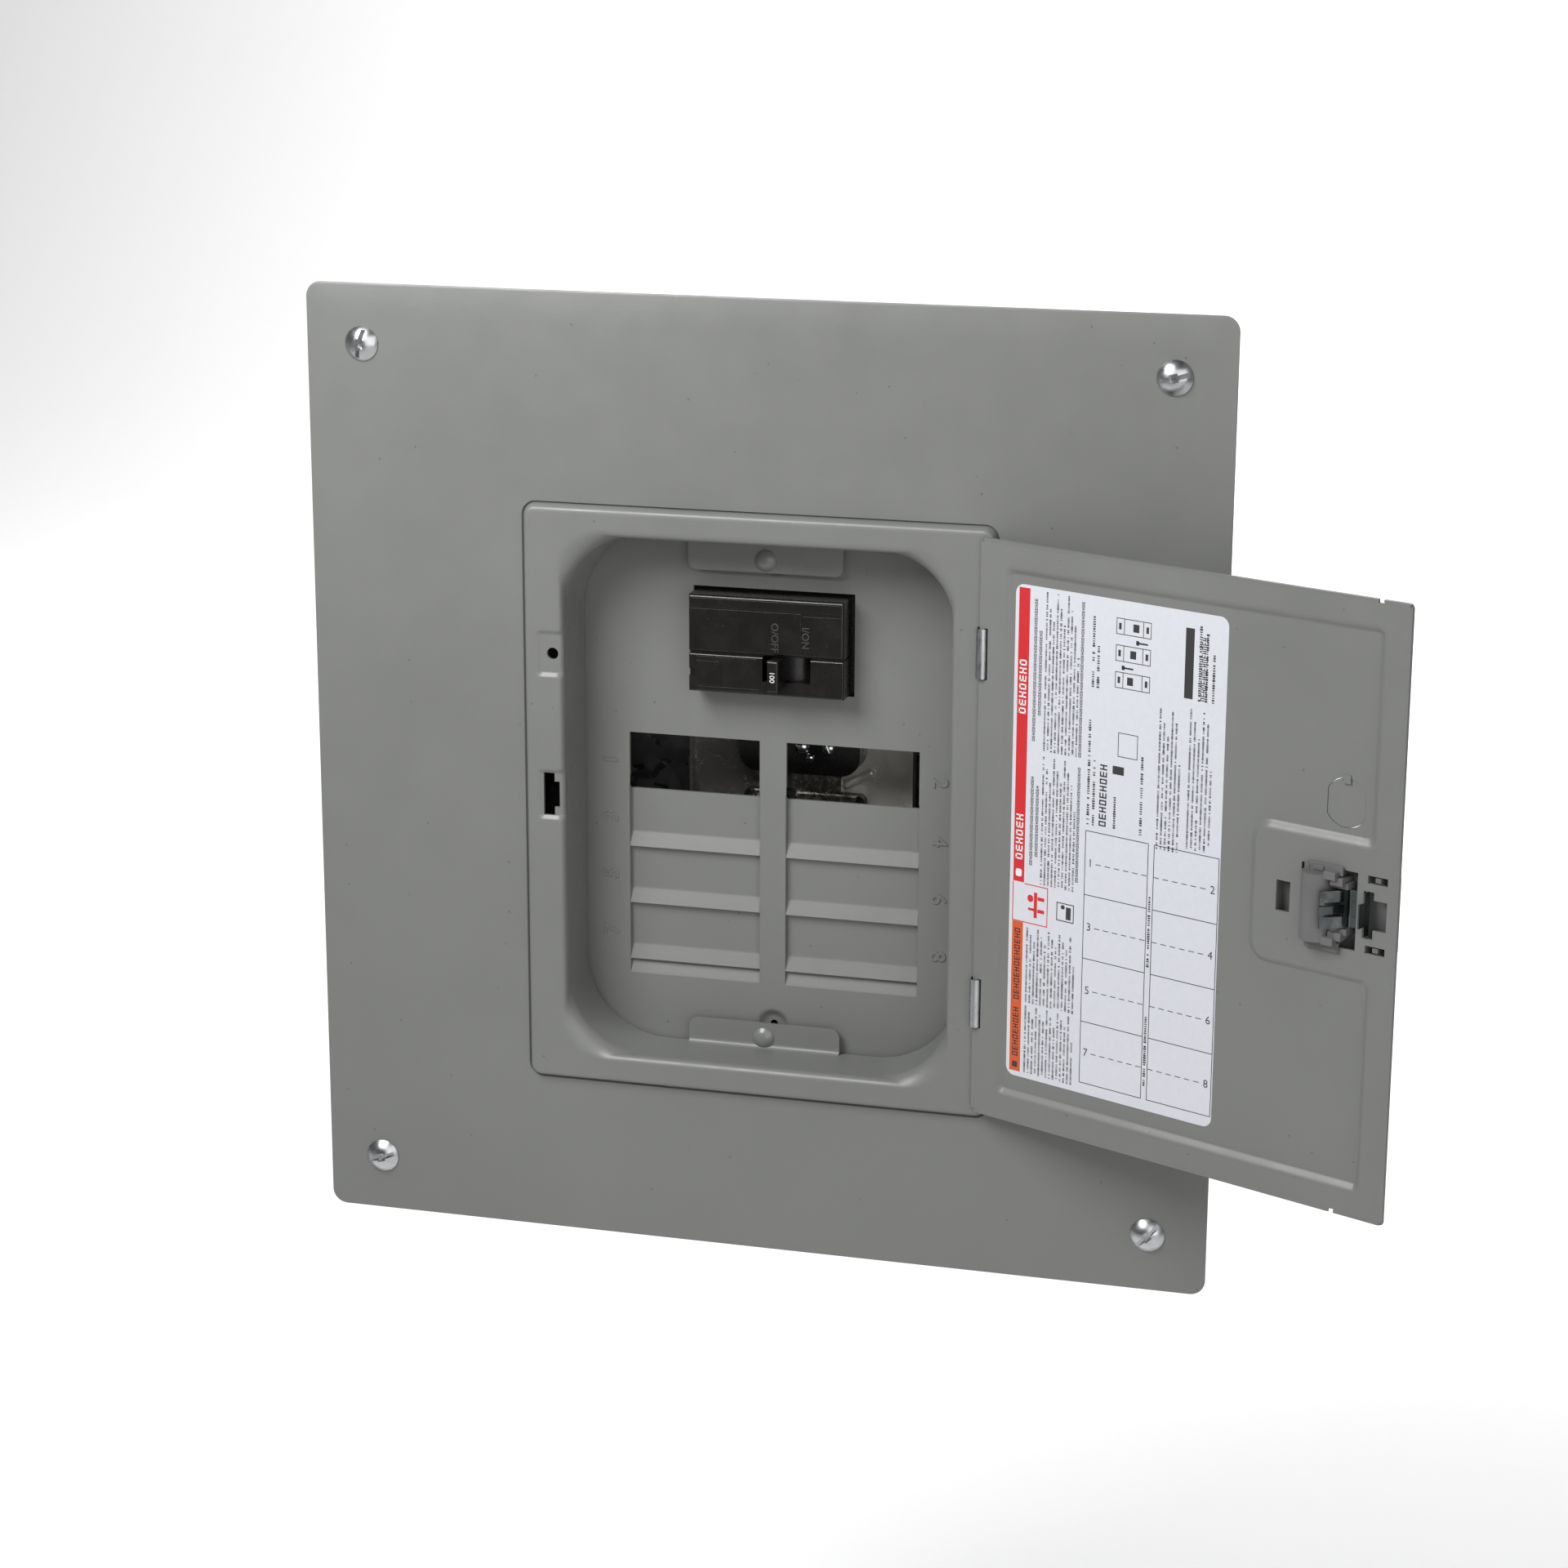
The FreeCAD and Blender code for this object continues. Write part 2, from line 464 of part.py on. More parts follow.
def line_lugs():
    """Box lugs at the top of the breaker: a square aluminium body with a cable bore along Z."""
    solids = []
    for x in LUG_X:
        body = box(x - 9, x + 9, 38, 58, MAIN_TOP + 26, MAIN_TOP + 46)
        bore = rod_z(x, 50, 6.0, MAIN_TOP + 25, MAIN_TOP + 47)
        solids.append(without(body, [bore, rod_y(x, MAIN_TOP + 36, 4.1, 30, 50)]))
    return group(solids)


def line_lug_screws():
    solids = []
    for x in LUG_X:
        screw = rod_y(x, MAIN_TOP + 36, 4.0, 34, 43.5)
        socket = box(x - 5, x + 5, 33, 36.5, MAIN_TOP + 35.3, MAIN_TOP + 36.7)
        solids.append(screw.cut(socket))
    return group(solids)


def line_lug_straps():
    """Copper tangs that carry each lug and reach into the breaker."""
    return group([box(x - 7, x + 7, 58, CASE_SPLIT, MAIN_TOP + 21, MAIN_TOP + 46) for x in LUG_X])


BASE_SCREWS = [(3.0, 3.2, 3.4, 1.6, 20), (15.2, 3.4, 3.0, 1.6, 70), (6.6, -1.6, 2.2, 1.2, 5)]


def base_screws():
    return group([pan_screw(x, z, BASE_FLOOR, head_r, shank_r, 8, turn)
                  for x, z, head_r, shank_r, turn in BASE_SCREWS])


# ---- interior ----
def mounting_pan():
    """Galvanised pan: a flat plate with forward side ribs, a pressed bead and two feet on the back wall."""
    half_w, half_h = PAN_W / 2, PAN_H / 2
    t = 1.2
    plate = box(-half_w, half_w, PAN_FRONT, PAN_FRONT + t, -half_h, half_h)
    ribs = [box(*mirrored_span(s, half_w - t, half_w), PAN_FRONT - 5, PAN_FRONT + t, -half_h, half_h)
            for s in (-1, 1)]
    back = TOTAL_DEPTH - BOX_WALL
    legs, feet = [], []
    for s in (-1, 1):
        legs.append(box(-half_w, half_w, PAN_FRONT, back, *sorted((s * half_h, s * (half_h - t)))))
        feet.append(box(-half_w, half_w, back - t, back, *sorted((s * (half_h - t), s * (half_h + 15)))))
    bead = fused([rod_z(0, 0, 2.2, -6.0, 6.0), Part.makeSphere(2.2, V(0, 0, 6.0)),
                  Part.makeSphere(2.2, V(0, 0, -6.0))])
    bead.rotate(V(0, 0, 0), V(0, 1, 0), 62)
    bead.translate(V(25.4, PAN_FRONT, -13.0))
    bead = bead.common(box(0, 60, PAN_FRONT - 3, PAN_FRONT + 0.5, -40, 10))
    shape = fused([plate, bead] + ribs + legs + feet)
    holes = [rod_y(sx * 38, sz * (half_h + 8), 2.6, 80, 100) for sx in (-1, 1) for sz in (-1, 1)]
    return without(shape, holes)


def pan_screws():
    y = TOTAL_DEPTH - BOX_WALL - 1.2
    spots = [(sx * 38.0, sz * (PAN_H / 2 + 8)) for sx in (-1, 1) for sz in (-1, 1)]
    return group([pan_screw(x, z, y, 4.6, 2.3, 1.2, 30 * i) for i, (x, z) in enumerate(spots)])


def bus_insulator():
    """Moulded base that carries both bus bars, with barrier ribs between the stabs."""
    body = rounded_plate(BASE_L, BASE_R, -98, -19.5, BUS_FRONT + BUS_T, PAN_FRONT, 3.0)
    barrier = box(-4.6, -2.4, BUS_FRONT - 14, BUS_FRONT + BUS_T + 1, -96, -22)
    ledges = [box(BASE_L, BASE_R, BUS_FRONT - 2, BUS_FRONT + BUS_T + 1, z - 1.0, z + 1.0)
              for z in (-36.8, -62.2, -87.6, -97.0)]
    shape = fused([body, barrier] + ledges)
    clear = [box(x0, x1, BUS_FRONT, BUS_FRONT + BUS_T, -96, -10) for x0, x1 in (BUS_LEFT, BUS_RIGHT)]
    holes = [rod_y(x, z, 1.7, 60, PAN_FRONT + 1) for x, z in INSULATOR_SCREWS]
    return without(shape, clear + holes)


INSULATOR_SCREWS = [(-23.9, -30.5), (27.6, -92.0), (-23.9, -92.0), (27.6, -30.5)]


def insulator_screws():
    return group([pan_screw(x, z, BUS_FRONT + BUS_T, 1.4, 1.1, 4.5, 40) for x, z in INSULATOR_SCREWS])


def bus_bar(sides, neck):
    """Tin-plated bar, joggled forwards at its narrower top end to meet the breaker's load terminal."""
    wide = box(*sides, BUS_FRONT, BUS_FRONT + BUS_T, -96, -19.5)
    joggle = box(*neck, BUS_FRONT + 1.4, BUS_FRONT + BUS_T, -20, -15)
    top = box(*neck, BUS_FRONT - 1.8, BUS_FRONT + 1.6, -17.2, -9.0)
    return fused([wide, joggle, top])


def bus_stabs():
    """Upright blades that the branch breakers grip, one for each row, alternating between the bars."""
    solids = []
    for row in range(1, ROWS):
        z = ROW_TOP - PITCH * (row + 0.5) - 3.5
        x = -14.0 if row % 2 else 12.4
        foot = box(x - 7, x + 7, BUS_FRONT - 1.6, BUS_FRONT, z - 5, z + 5)
        blade = rounded(box(x - 6, x + 6, BUS_FRONT - 13, BUS_FRONT - 1.4, z - 0.8, z + 0.8), 2.5,
                        lambda e: abs(e.Length - 1.6) < 0.01 and e.BoundBox.YMax < BUS_FRONT - 10)
        solids.append(fused([foot, blade]))
    return group(solids)


def hook_rails():
    """Folded rails on the pan's edges with a raised hook for each branch breaker."""
    solids = []
    for s in (-1, 1):
        foot_y = PAN_FRONT - 0.6
        wall = bent_strip([(s * 41.0, foot_y), (s * 47.5, foot_y), (s * 47.5, 58.0)], 1.2, -98, -27)
        hooks = []
        for row in range(3):
            z = -32.5 - PITCH * row
            hooks.append(box(*mirrored_span(s, 41.5, 48.1), 57.4, 58.6, z - 5, z + 5))
        solids.append(fused([wall] + hooks))
    return group(solids)


NEUTRAL_Z = (-112.0, -34.0)


def neutral_bar(side):
    """Extruded aluminium terminal bar with wire holes along X and screw holes along Y."""
    x = side * 70.0
    body = rounded(box(x - 5, x + 5, 62, 72, *NEUTRAL_Z), 0.8, lambda e: e.Length > 70)
    cuts = []
    for i in range(9):
        z = NEUTRAL_Z[0] + 5 + 8.5 * i
        cuts.append(Part.makeCylinder(2.4, 12, V(x - 6, 67.5, z), V(1, 0, 0)))
        cuts.append(rod_y(x, z, 2.05, 60, 67))
    return without(body, cuts)


def neutral_bar_screws():
    solids = []
    for side in (-1, 1):
        for i in range(9):
            z = NEUTRAL_Z[0] + 5 + 8.5 * i
            shank = rod_y(side * 70.0, z, 2.0, 59.5, 65.0)
            slot = box(side * 70 - 3, side * 70 + 3, 59, 60.7, z - 0.45, z + 0.45)
            slot.rotate(V(side * 70, 0, z), V(0, 1, 0), 37 * i)
            solids.append(shank.cut(slot))
    return group(solids)


def neutral_stand_offs():
    """Plastic posts that hold the neutral bars off the box's back wall."""
    back = TOTAL_DEPTH - BOX_WALL
    solids = [rounded_plate(s * 70 - 7, s * 70 + 7, z - 6, z + 6, 72, back, 1.5)
              for s in (-1, 1) for z in (NEUTRAL_Z[0] + 8, NEUTRAL_Z[1] - 8)]
    return group(solids)


def neutral_strap():
    """Cross link under the bus base that ties the two neutral bars together."""
    low = NEUTRAL_Z[0] - 3
    route = [(-70, 73.0), (-58, 73.0), (-54, 88.0), (54, 88.0), (58, 73.0), (70, 73.0)]
    strip = bent_strip(route, 1.6, low - 9, low)
    pads = [box(*mirrored_span(s, 66, 74), 62, 73.8, low - 9, low) for s in (-1, 1)]
    return fused([strip] + pads).cut(rod_y(70, low - 4.5, 2.1, 60, 90))


def lug(x, z, y0, width, bore):
    body = box(x - width / 2, x + width / 2, y0, y0 + 1.1 * width, z - width / 2, z + width / 2)
    cable = rod_z(x, y0 + 0.65 * width, bore, z - width, z + width)
    return without(body, [cable, rod_y(x, z, 4.1, y0 - 1, y0 + 9)])


def neutral_lug():
    return lug(-70.0, -137.0, 60.0, 16.0, 5.2)


def neutral_lug_bracket():
    """Copper tang under the neutral lug, joined to the left bar's end."""
    return box(-76, -64, 77.6, 79.2, -145, -127)


def lug_screw():
    x, z = -70.0, -137.0
    return rod_y(x, z, 4.0, 57.0, 65.0).cut(box(x - 5, x + 5, 56, 59, z - 0.7, z + 0.7))


def bonding_screw():
    return pan_screw(70.0, -119.5, 62, 4.2, 2.0, 30.0, 25)


def ground_bar():
    back = TOTAL_DEPTH - BOX_WALL
    body = rounded(box(118, 128, back - 12, back - 3, -95, 15), 0.8, lambda e: e.Length > 100)
    feet = [box(119, 127, back - 3.2, back, z - 5, z + 5) for z in (-88, 8)]
    shape = fused([body] + feet)
    cuts = []
    for i in range(10):
        z = -75 + 8.2 * i
        cuts.append(Part.makeCylinder(2.2, 12, V(117, back - 7.0, z), V(1, 0, 0)))
        cuts.append(rod_y(123, z, 2.05, back - 13, back - 8))
    return without(shape, cuts + [rod_y(123, z, 2.2, back - 14, back + 1) for z in (-88, 8)])


def ground_bar_screws():
    back = TOTAL_DEPTH - BOX_WALL
    solids = []
    for i in range(10):
        z = -75 + 8.2 * i
        shank = rod_y(123, z, 2.0, back - 14.5, back - 9.3)
        slot = box(120, 126, back - 15, back - 13.4, z - 0.45, z + 0.45)
        slot.rotate(V(123, 0, z), V(0, 1, 0), 53 * i)
        solids.append(shank.cut(slot))
    return group(solids)


def ground_bar_mounting_screws():
    back = TOTAL_DEPTH - BOX_WALL
    return group([pan_screw(123, z, back - 12, 4.4, 2.0, 12, 60) for z in (-88, 8)])


# ---- door and latch, drawn shut; U is the distance from the hinge axis towards the free edge ----
def door_box(u0, u1, y0, y1, z0, z1):
    return box(HINGE_X - u1, HINGE_X - u0, y0, y1, z0, z1)


def door_plate(u0, u1, z0, z1, y0, y1, radius):
    return rounded_plate(HINGE_X - u1, HINGE_X - u0, z0, z1, y0, y1, radius)


def panel_outline(inset, y):
    """Outline of the pressed panel, notched on its free side for the latch pad."""
    u0, u1 = 10.2 + inset, 187.0 - inset
    z0, z1 = -121.0 + inset, 103.8 - inset
    pad_u = 134.4 - inset
    pad_low, pad_top = -33.0 - inset, 17.0 + inset
    corners = [(u0, z0), (u1, z0), (u1, pad_low), (pad_u, pad_low),
               (pad_u, pad_top), (u1, pad_top), (u1, z1), (u0, z1)]
    return [V(HINGE_X - u, y, z) for u, z in corners]


def cornered_wire(points, radius):
    """Closed wire through the points, each corner rounded to the radius."""
    count = len(points)
    arcs = []
    for i, corner in enumerate(points):
        back = (points[i - 1] - corner).normalize()
        ahead = (points[(i + 1) % count] - corner).normalize()
        middle = (back + ahead).normalize() * (radius * (math.sqrt(2) - 1))
        arcs.append((corner + back * radius, corner + middle, corner + ahead * radius))
    edges = []
    for i, (start, mid, end) in enumerate(arcs):
        edges.append(Part.Arc(start, mid, end).toShape())
        edges.append(Part.makeLine(end, arcs[(i + 1) % count][0]))
    return Part.Wire(edges)


def pressed_block(y_rim, y_panel):
    low = cornered_wire(panel_outline(0, y_rim), 4.0)
    high = cornered_wire(panel_outline(PRESS_RAMP, y_panel), 4.0)
    return Part.makeLoft([low, high], True, True)


WINDOW = (154.2, 179.0, -23.6, 7.3)
GUIDE_SLOTS = [(183.3, 191.9, 4.1, 7.2), (183.3, 191.9, -23.5, -20.4)]
PEG_W = 2.5
KNOCKOUT_U, KNOCKOUT_Z, KNOCKOUT_RAD, KNOCKOUT_FLAT = 171.4, 32.9, 9.8, 8.4


def lock_slug(radius, flat, y0, y1):
    cx = HINGE_X - KNOCKOUT_U
    disc = rod_y(cx, KNOCKOUT_Z, radius, y0, y1)
    return disc.common(box(cx - flat, cx + flat, y0, y1, KNOCKOUT_Z - radius, KNOCKOUT_Z + radius))


def door_panel():
    outer = DOOR_INNER - DOOR_SHEET
    plate = door_plate(DOOR_EDGE, DOOR_FREE, DOOR_LOW, DOOR_TOP, outer, DOOR_INNER, DOOR_R)
    shape = fused([plate, pressed_block(outer, outer - PANEL_PRESS)])
    shape = shape.cut(pressed_block(DOOR_INNER, DOOR_INNER - PANEL_PRESS))
    through = (-12, 0)
    cuts = [door_box(1.4, 3.2, *through, z - CLIP_H / 2 - 0.4, z + CLIP_H / 2 + 0.4) for z in CLIP_Z]
    cuts.append(door_box(WINDOW[0], WINDOW[1], *through, WINDOW[2], WINDOW[3]))
    cuts.append(door_box(143.3, 149.5, *through, LATCH_Z - 6.1, LATCH_Z + 6.1))
    cuts.append(door_box(186.2, 192.0, *through, LATCH_Z - 5.9, LATCH_Z + 5.9))
    cuts.append(door_box(181.8, 186.4, *through, LATCH_Z - 9.6, LATCH_Z + 9.0))
    cuts += [door_box(u0, u1, *through, z0, z1) for u0, u1, z0, z1 in GUIDE_SLOTS]
    cuts.append(lock_slug(KNOCKOUT_RAD, KNOCKOUT_FLAT, *through))
    cuts.append(door_box(182.2, 184.6, *through, DOOR_TOP - 1.6, DOOR_TOP + 1))
    cuts.append(door_box(172.6, 175.0, *through, DOOR_LOW - 1, DOOR_LOW + 1.6))
    return without(shape, cuts)


def lock_knockout():
    """Half-sheared slug that a lock kit replaces, held by one tie across the top."""
    panel_outer = DOOR_INNER - DOOR_SHEET - PANEL_PRESS
    slug = lock_slug(KNOCKOUT_RAD - 0.2, KNOCKOUT_FLAT - 0.2, panel_outer - 0.3,
                     panel_outer + DOOR_SHEET - 0.3)
    cx = HINGE_X - KNOCKOUT_U
    tie = box(cx - 1.6, cx + 1.6, panel_outer + DOOR_SHEET, panel_outer + DOOR_SHEET + 0.5,
              KNOCKOUT_Z + KNOCKOUT_RAD - 2.2, KNOCKOUT_Z + KNOCKOUT_RAD + 1.2)
    stem = box(cx - 1.6, cx + 1.6, panel_outer + 0.2, panel_outer + DOOR_SHEET,
               KNOCKOUT_Z + KNOCKOUT_RAD - 2.2, KNOCKOUT_Z + KNOCKOUT_RAD - 0.6)
    return fused([slug, tie, stem])


def door_label():
    inner = DOOR_INNER - PANEL_PRESS
    return door_plate(15.5, 116.5, -110.7, 96.5, inner, inner + 0.15, 4.0)


def latch_slide():
    """Plastic slide: a hollow grip outside the door, a rolled ridge inside and two guide pegs."""
    skin = DOOR_INNER - DOOR_SHEET - 0.35
    grip = door_plate(141.6, 193.8, -26.2, 10.0, skin - 5.6, skin, 4.0)
    grip = rounded(grip, 1.2, lambda e: in_plane_y(e, skin - 5.6))
    hollow = door_plate(143.2, 192.2, -24.6, 8.4, skin - 3.6, skin + 1, 2.6)
    scoop = rod_z(HINGE_X - 181.0, skin - 10.6, 6.0, -20, 3.8)
    shell = without(grip, [hollow, scoop])
    low, top = LATCH_Z - 13.6, LATCH_Z + 13.2
    bridge = door_box(155.4, 168.0, skin - 4.2, DOOR_INNER + 0.3, low, top)
    ridge = rod_z(HINGE_X - 161.7, DOOR_INNER + 0.3, 6.3, low, top)
    ridge = ridge.common(door_box(150, 172, DOOR_INNER, DOOR_INNER + 9, -40, 30))
    shelf = door_box(157.4, 172.4, DOOR_INNER + 0.35, DOOR_INNER + 1.75, WINDOW[2] - 2.0, WINDOW[3] + 1.8)
    shelf = shelf.cut(door_box(167.9, 173, -5, 0, LATCH_Z - 7.4, LATCH_Z + 8.0))
    block_z = ((0.6, 6.6), (-22.8, -16.9))
    blocks = [door_box(167.4, 173.8, skin - 4.2, DOOR_INNER + 2.6, z0, z1) for z0, z1 in block_z]
    pegs = []
    for u0, u1, z0, z1 in GUIDE_SLOTS:
        middle = (z0 + z1) / 2
        pegs.append(door_box(186.3, 186.3 + PEG_W, skin - 4.2, DOOR_INNER - 0.4, middle - 1.0, middle + 1.0))
    return fused([shell, bridge, ridge, shelf] + blocks + pegs)


def latch_catch():
    """Zinc-plated spring strip: inner tongue, a jog through the window, and the catch for the strike slot."""
    inner = DOOR_INNER
    run = [(167.6, inner + 7.6), (173.0, inner + 1.0), (174.9, inner - 2.4), (182.9, inner - 2.4),
           (182.9, inner + 1.3)]
    points = [(HINGE_X - u, y) for u, y in run]
    strip = bent_strip(points, 0.7, LATCH_Z - 7.2, LATCH_Z + 7.7)
    window = door_box(166, 173.2, inner + 0.5, inner + 10, LATCH_Z - 2.4, LATCH_Z + 3.0)
    ears = door_box(182.55, 183.25, inner - 2.4, inner + 1.2, LATCH_Z - 9.0, LATCH_Z + 8.4)
    catch = door_box(182.55, 183.25, inner + 1, inner + 5.2, LATCH_Z - 4.9, LATCH_Z + 4.9)
    tongue = bent_strip([(HINGE_X - 169.2, inner + 7.4), (HINGE_X - 173.2, inner + 1.4)], 0.7,
                        LATCH_Z - 1.4, LATCH_Z + 1.8)
    root = bent_strip([(HINGE_X - 172.4, inner + 1.75), (HINGE_X - 173.4, inner + 0.6)], 0.7,
                      LATCH_Z - 2.4, LATCH_Z + 3.0)
    return fused([strip.cut(window), ears, catch, tongue, root])


def hinge_clip(z):
    """Rolled sheet barrel round the door's edge strip, with a stem through the cover and feet behind it."""
    z0, z1 = z - CLIP_H / 2, z + CLIP_H / 2
    ring = rod_z(HINGE_X, HINGE_Y, CLIP_R, z0, z1).cut(rod_z(HINGE_X, HINGE_Y, CLIP_R - CLIP_T, z0, z1))
    stem = box(HINGE_X - 0.7, HINGE_X + 0.7, HINGE_Y + CLIP_R - 0.4, -0.8, z0, z1)
    feet = box(HINGE_X - 6.6, HINGE_X + 1.4, -FRAME_STEP + SHEET, -0.8, z0, z1)
    groove = box(HINGE_X - 0.15, HINGE_X + 0.15, HINGE_Y - CLIP_R - 0.1, HINGE_Y - CLIP_R + 0.25, z0, z1)
    return fused([ring, stem, feet]).cut(groove)


FIXED = {
    "enclosure_box": enclosure_box,
    "cover_trim": cover_trim,
    "cover_screws": lambda: group([cover_screw(sx, sz) for sx, sz in SCREW_TURNS]),
    "dead_front": dead_front,
    "dead_front_rivets": dead_front_rivets,
    "main_breaker_case": main_breaker_case,
    "main_breaker_base": main_breaker_base,
    "main_breaker_rivets": case_rivets,
    "breaker_handle": breaker_handle,
    "handle_pin": handle_pin,
    "contact_arms": contact_arms,
    "contact_arm_pin": contact_arm_pin,
    "fixed_contacts": fixed_contacts,
    "line_lugs": line_lugs,
    "line_lug_screws": line_lug_screws,
    "line_lug_straps": line_lug_straps,
    "breaker_base_screws": base_screws,
    "mounting_pan": mounting_pan,
    "pan_screws": pan_screws,
    "bus_insulator": bus_insulator,
    "bus_insulator_screws": insulator_screws,
    "bus_bar_left": lambda: bus_bar(BUS_LEFT, NECK_LEFT),
    "bus_bar_right": lambda: bus_bar(BUS_RIGHT, NECK_RIGHT),
    "bus_stabs": bus_stabs,
    "hook_rails": hook_rails,
    "neutral_bar_left": lambda: neutral_bar(-1),
    "neutral_bar_right": lambda: neutral_bar(1),
    "neutral_bar_screws": neutral_bar_screws,
    "neutral_stand_offs": neutral_stand_offs,
    "neutral_strap": neutral_strap,
    "neutral_lug": neutral_lug,
    "neutral_lug_bracket": neutral_lug_bracket,
    "neutral_lug_screw": lug_screw,
    "bonding_screw": bonding_screw,
    "ground_bar": ground_bar,
    "ground_bar_screws": ground_bar_screws,
    "ground_bar_mounting_screws": ground_bar_mounting_screws,
    "hinge_clip_upper": lambda: hinge_clip(CLIP_Z[0]),
    "hinge_clip_lower": lambda: hinge_clip(CLIP_Z[1]),
}

SWINGING = {
    "door_panel": door_panel,
    "lock_knockout": lock_knockout,
    "door_label": door_label,
    "latch_slide": latch_slide,
    "latch_catch": latch_catch,
}


def main():
    os.makedirs("parts", exist_ok=True)
    for name, make in {**FIXED, **SWINGING}.items():
        shape = make()
        if name in SWINGING:
            shape.rotate(V(HINGE_X, HINGE_Y, 0), V(0, 0, 1), DOOR_OPEN)
        shape.translate(V(0, -TOTAL_DEPTH, 0))
        print(name, "solids", len(shape.Solids), "valid", shape.isValid(), "volume %.0f" % shape.Volume)
        shape.exportStep("parts/" + name + ".step")


main()
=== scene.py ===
import json
import math

import bmesh
import bpy
from bpy.props import FloatProperty, FloatVectorProperty, IntProperty, PointerProperty
from mathutils import Matrix, Vector


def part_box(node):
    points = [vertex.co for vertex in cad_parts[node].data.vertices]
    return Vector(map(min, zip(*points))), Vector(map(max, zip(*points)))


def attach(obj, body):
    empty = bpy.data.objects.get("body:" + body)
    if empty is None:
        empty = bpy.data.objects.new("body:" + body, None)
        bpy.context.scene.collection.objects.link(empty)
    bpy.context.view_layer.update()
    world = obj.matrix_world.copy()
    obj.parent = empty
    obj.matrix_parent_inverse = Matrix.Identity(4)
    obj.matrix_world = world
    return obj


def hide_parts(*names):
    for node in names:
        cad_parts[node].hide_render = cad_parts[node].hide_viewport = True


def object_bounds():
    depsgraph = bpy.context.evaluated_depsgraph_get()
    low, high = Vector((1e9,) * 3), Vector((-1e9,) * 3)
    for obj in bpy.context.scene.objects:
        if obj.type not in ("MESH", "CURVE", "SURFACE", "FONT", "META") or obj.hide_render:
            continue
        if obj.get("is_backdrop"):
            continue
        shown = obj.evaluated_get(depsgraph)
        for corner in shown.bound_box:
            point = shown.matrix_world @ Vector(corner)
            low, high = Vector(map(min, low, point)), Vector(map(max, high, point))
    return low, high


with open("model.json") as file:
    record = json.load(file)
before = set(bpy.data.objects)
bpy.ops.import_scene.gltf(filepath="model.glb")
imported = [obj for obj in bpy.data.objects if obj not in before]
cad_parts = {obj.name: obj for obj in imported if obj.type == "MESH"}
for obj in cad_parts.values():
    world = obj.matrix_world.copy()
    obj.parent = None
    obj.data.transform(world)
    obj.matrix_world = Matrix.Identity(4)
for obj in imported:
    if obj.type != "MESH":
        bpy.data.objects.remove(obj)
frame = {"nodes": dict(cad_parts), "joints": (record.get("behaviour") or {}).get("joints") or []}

bl_info = {
    "name": "Load Center Finish",
    "version": (1, 0, 0),
    "blender": (4, 5, 0),
    "location": "3D View > Sidebar > Load Center",
    "description": "Sheet metal, breaker, latch, fasteners and label of a flush wall load center",
    "category": "Object",
}

# Meshes are drawn in millimetres: X right, Z up, and Y the depth behind the front face of the cover's flange.
MM = 0.001
JOINTS = {joint["name"]: joint for joint in frame["joints"]}


def cad_box(node):
    """Lowest and highest corner of a CAD node in millimetres of the row frame."""
    return [Vector(corner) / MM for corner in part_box(node)]


FRAME_STEP = 3.0                        # height of the raised frame round the opening
COVER_LOW, COVER_HIGH = cad_box("cover_trim")
FLANGE_Y = COVER_LOW.y + FRAME_STEP     # the flange's front face, in the row frame
COVER_HALF = (COVER_HIGH.x, COVER_HIGH.z)
SHEET = 1.5
HINGE = Vector(JOINTS["door_hinge"]["pos_m"]) / MM
HINGE_X = HINGE.x
DOOR_TURN = -math.radians(JOINTS["door_hinge"]["range_deg"][0])
DOOR_Z = [corner.z for corner in cad_box("door_panel")]
DEAD_LOW, DEAD_HIGH = cad_box("dead_front")
DEAD_DEPTH = DEAD_LOW.y - FLANGE_Y
CASE_DEPTH = cad_box("main_breaker_case")[0].y - FLANGE_Y

TO_ROW = Matrix.Translation((0, FLANGE_Y * MM, 0)) @ Matrix.Scale(MM, 4)
SWUNG = (Matrix.Translation(HINGE * MM) @ Matrix.Rotation(DOOR_TURN, 4, "Z")
         @ Matrix.Translation(-HINGE * MM) @ TO_ROW)

# ---- the pressed shapes, in millimetres ----
FRAME_CENTRE, FRAME_HALF, FRAME_R = (0.3, -9.0), (99.5, 124.35), 4.0
OPEN_CENTRE, OPEN_HALF = (0.0, -9.0), (83.2, 112.9)
MOUTH_R, THROAT_R, REAR_R = 17.0, 31.0, 36.0
THROAT_DEPTH, FUNNEL_DEPTH = 4.0, 26.0
STRIKE_Z, LOCK_Z, PAD_X, LOCK_X = -7.9, 53.2, -93.8, -87.9
PAD_SINK, FOOT_GROOVE = 1.2, -0.5       # the sunk pads, and the height where the groove round the foot starts
CLIP_Z, CLIP_HALF = (65.5, -83.0), 10.7
TAB_X, TAB_DEPTH = (-36.2, 31.0), 24.0
TAB_EDGES = (87.4, -110.8)
RIVETS, RIVET_HOLE = ((-2.5, 92.6), (-2.8, -117.4)), 2.2
DIMPLES = ((0.9, 92.4), (0.4, -112.4))
SCREW_X, SCREW_Z = 170.7, 180.0
SCREW_TURNS = {(-1, 1): 75.0, (1, 1): 15.0, (-1, -1): 17.0, (1, -1): 47.0}
COLUMNS = ((-63.9, -5.8), (5.8, 63.9))
PITCH, ROW_TOP, ROWS = 25.4, 14.06, 4
PANEL_SINK, RAMP, SPACE_LIP = 2.5, 6.5, 0.4
MAIN_HOLE = (-35.1, 35.4, 35.7, 79.8)
DOOR_SHEET, DOOR_INNER = 1.2, -3.8
DOOR_U = (-0.9, 197.0)
PRESS, PRESS_RAMP = 2.0, 4.0
LATCH_Z = -8.1
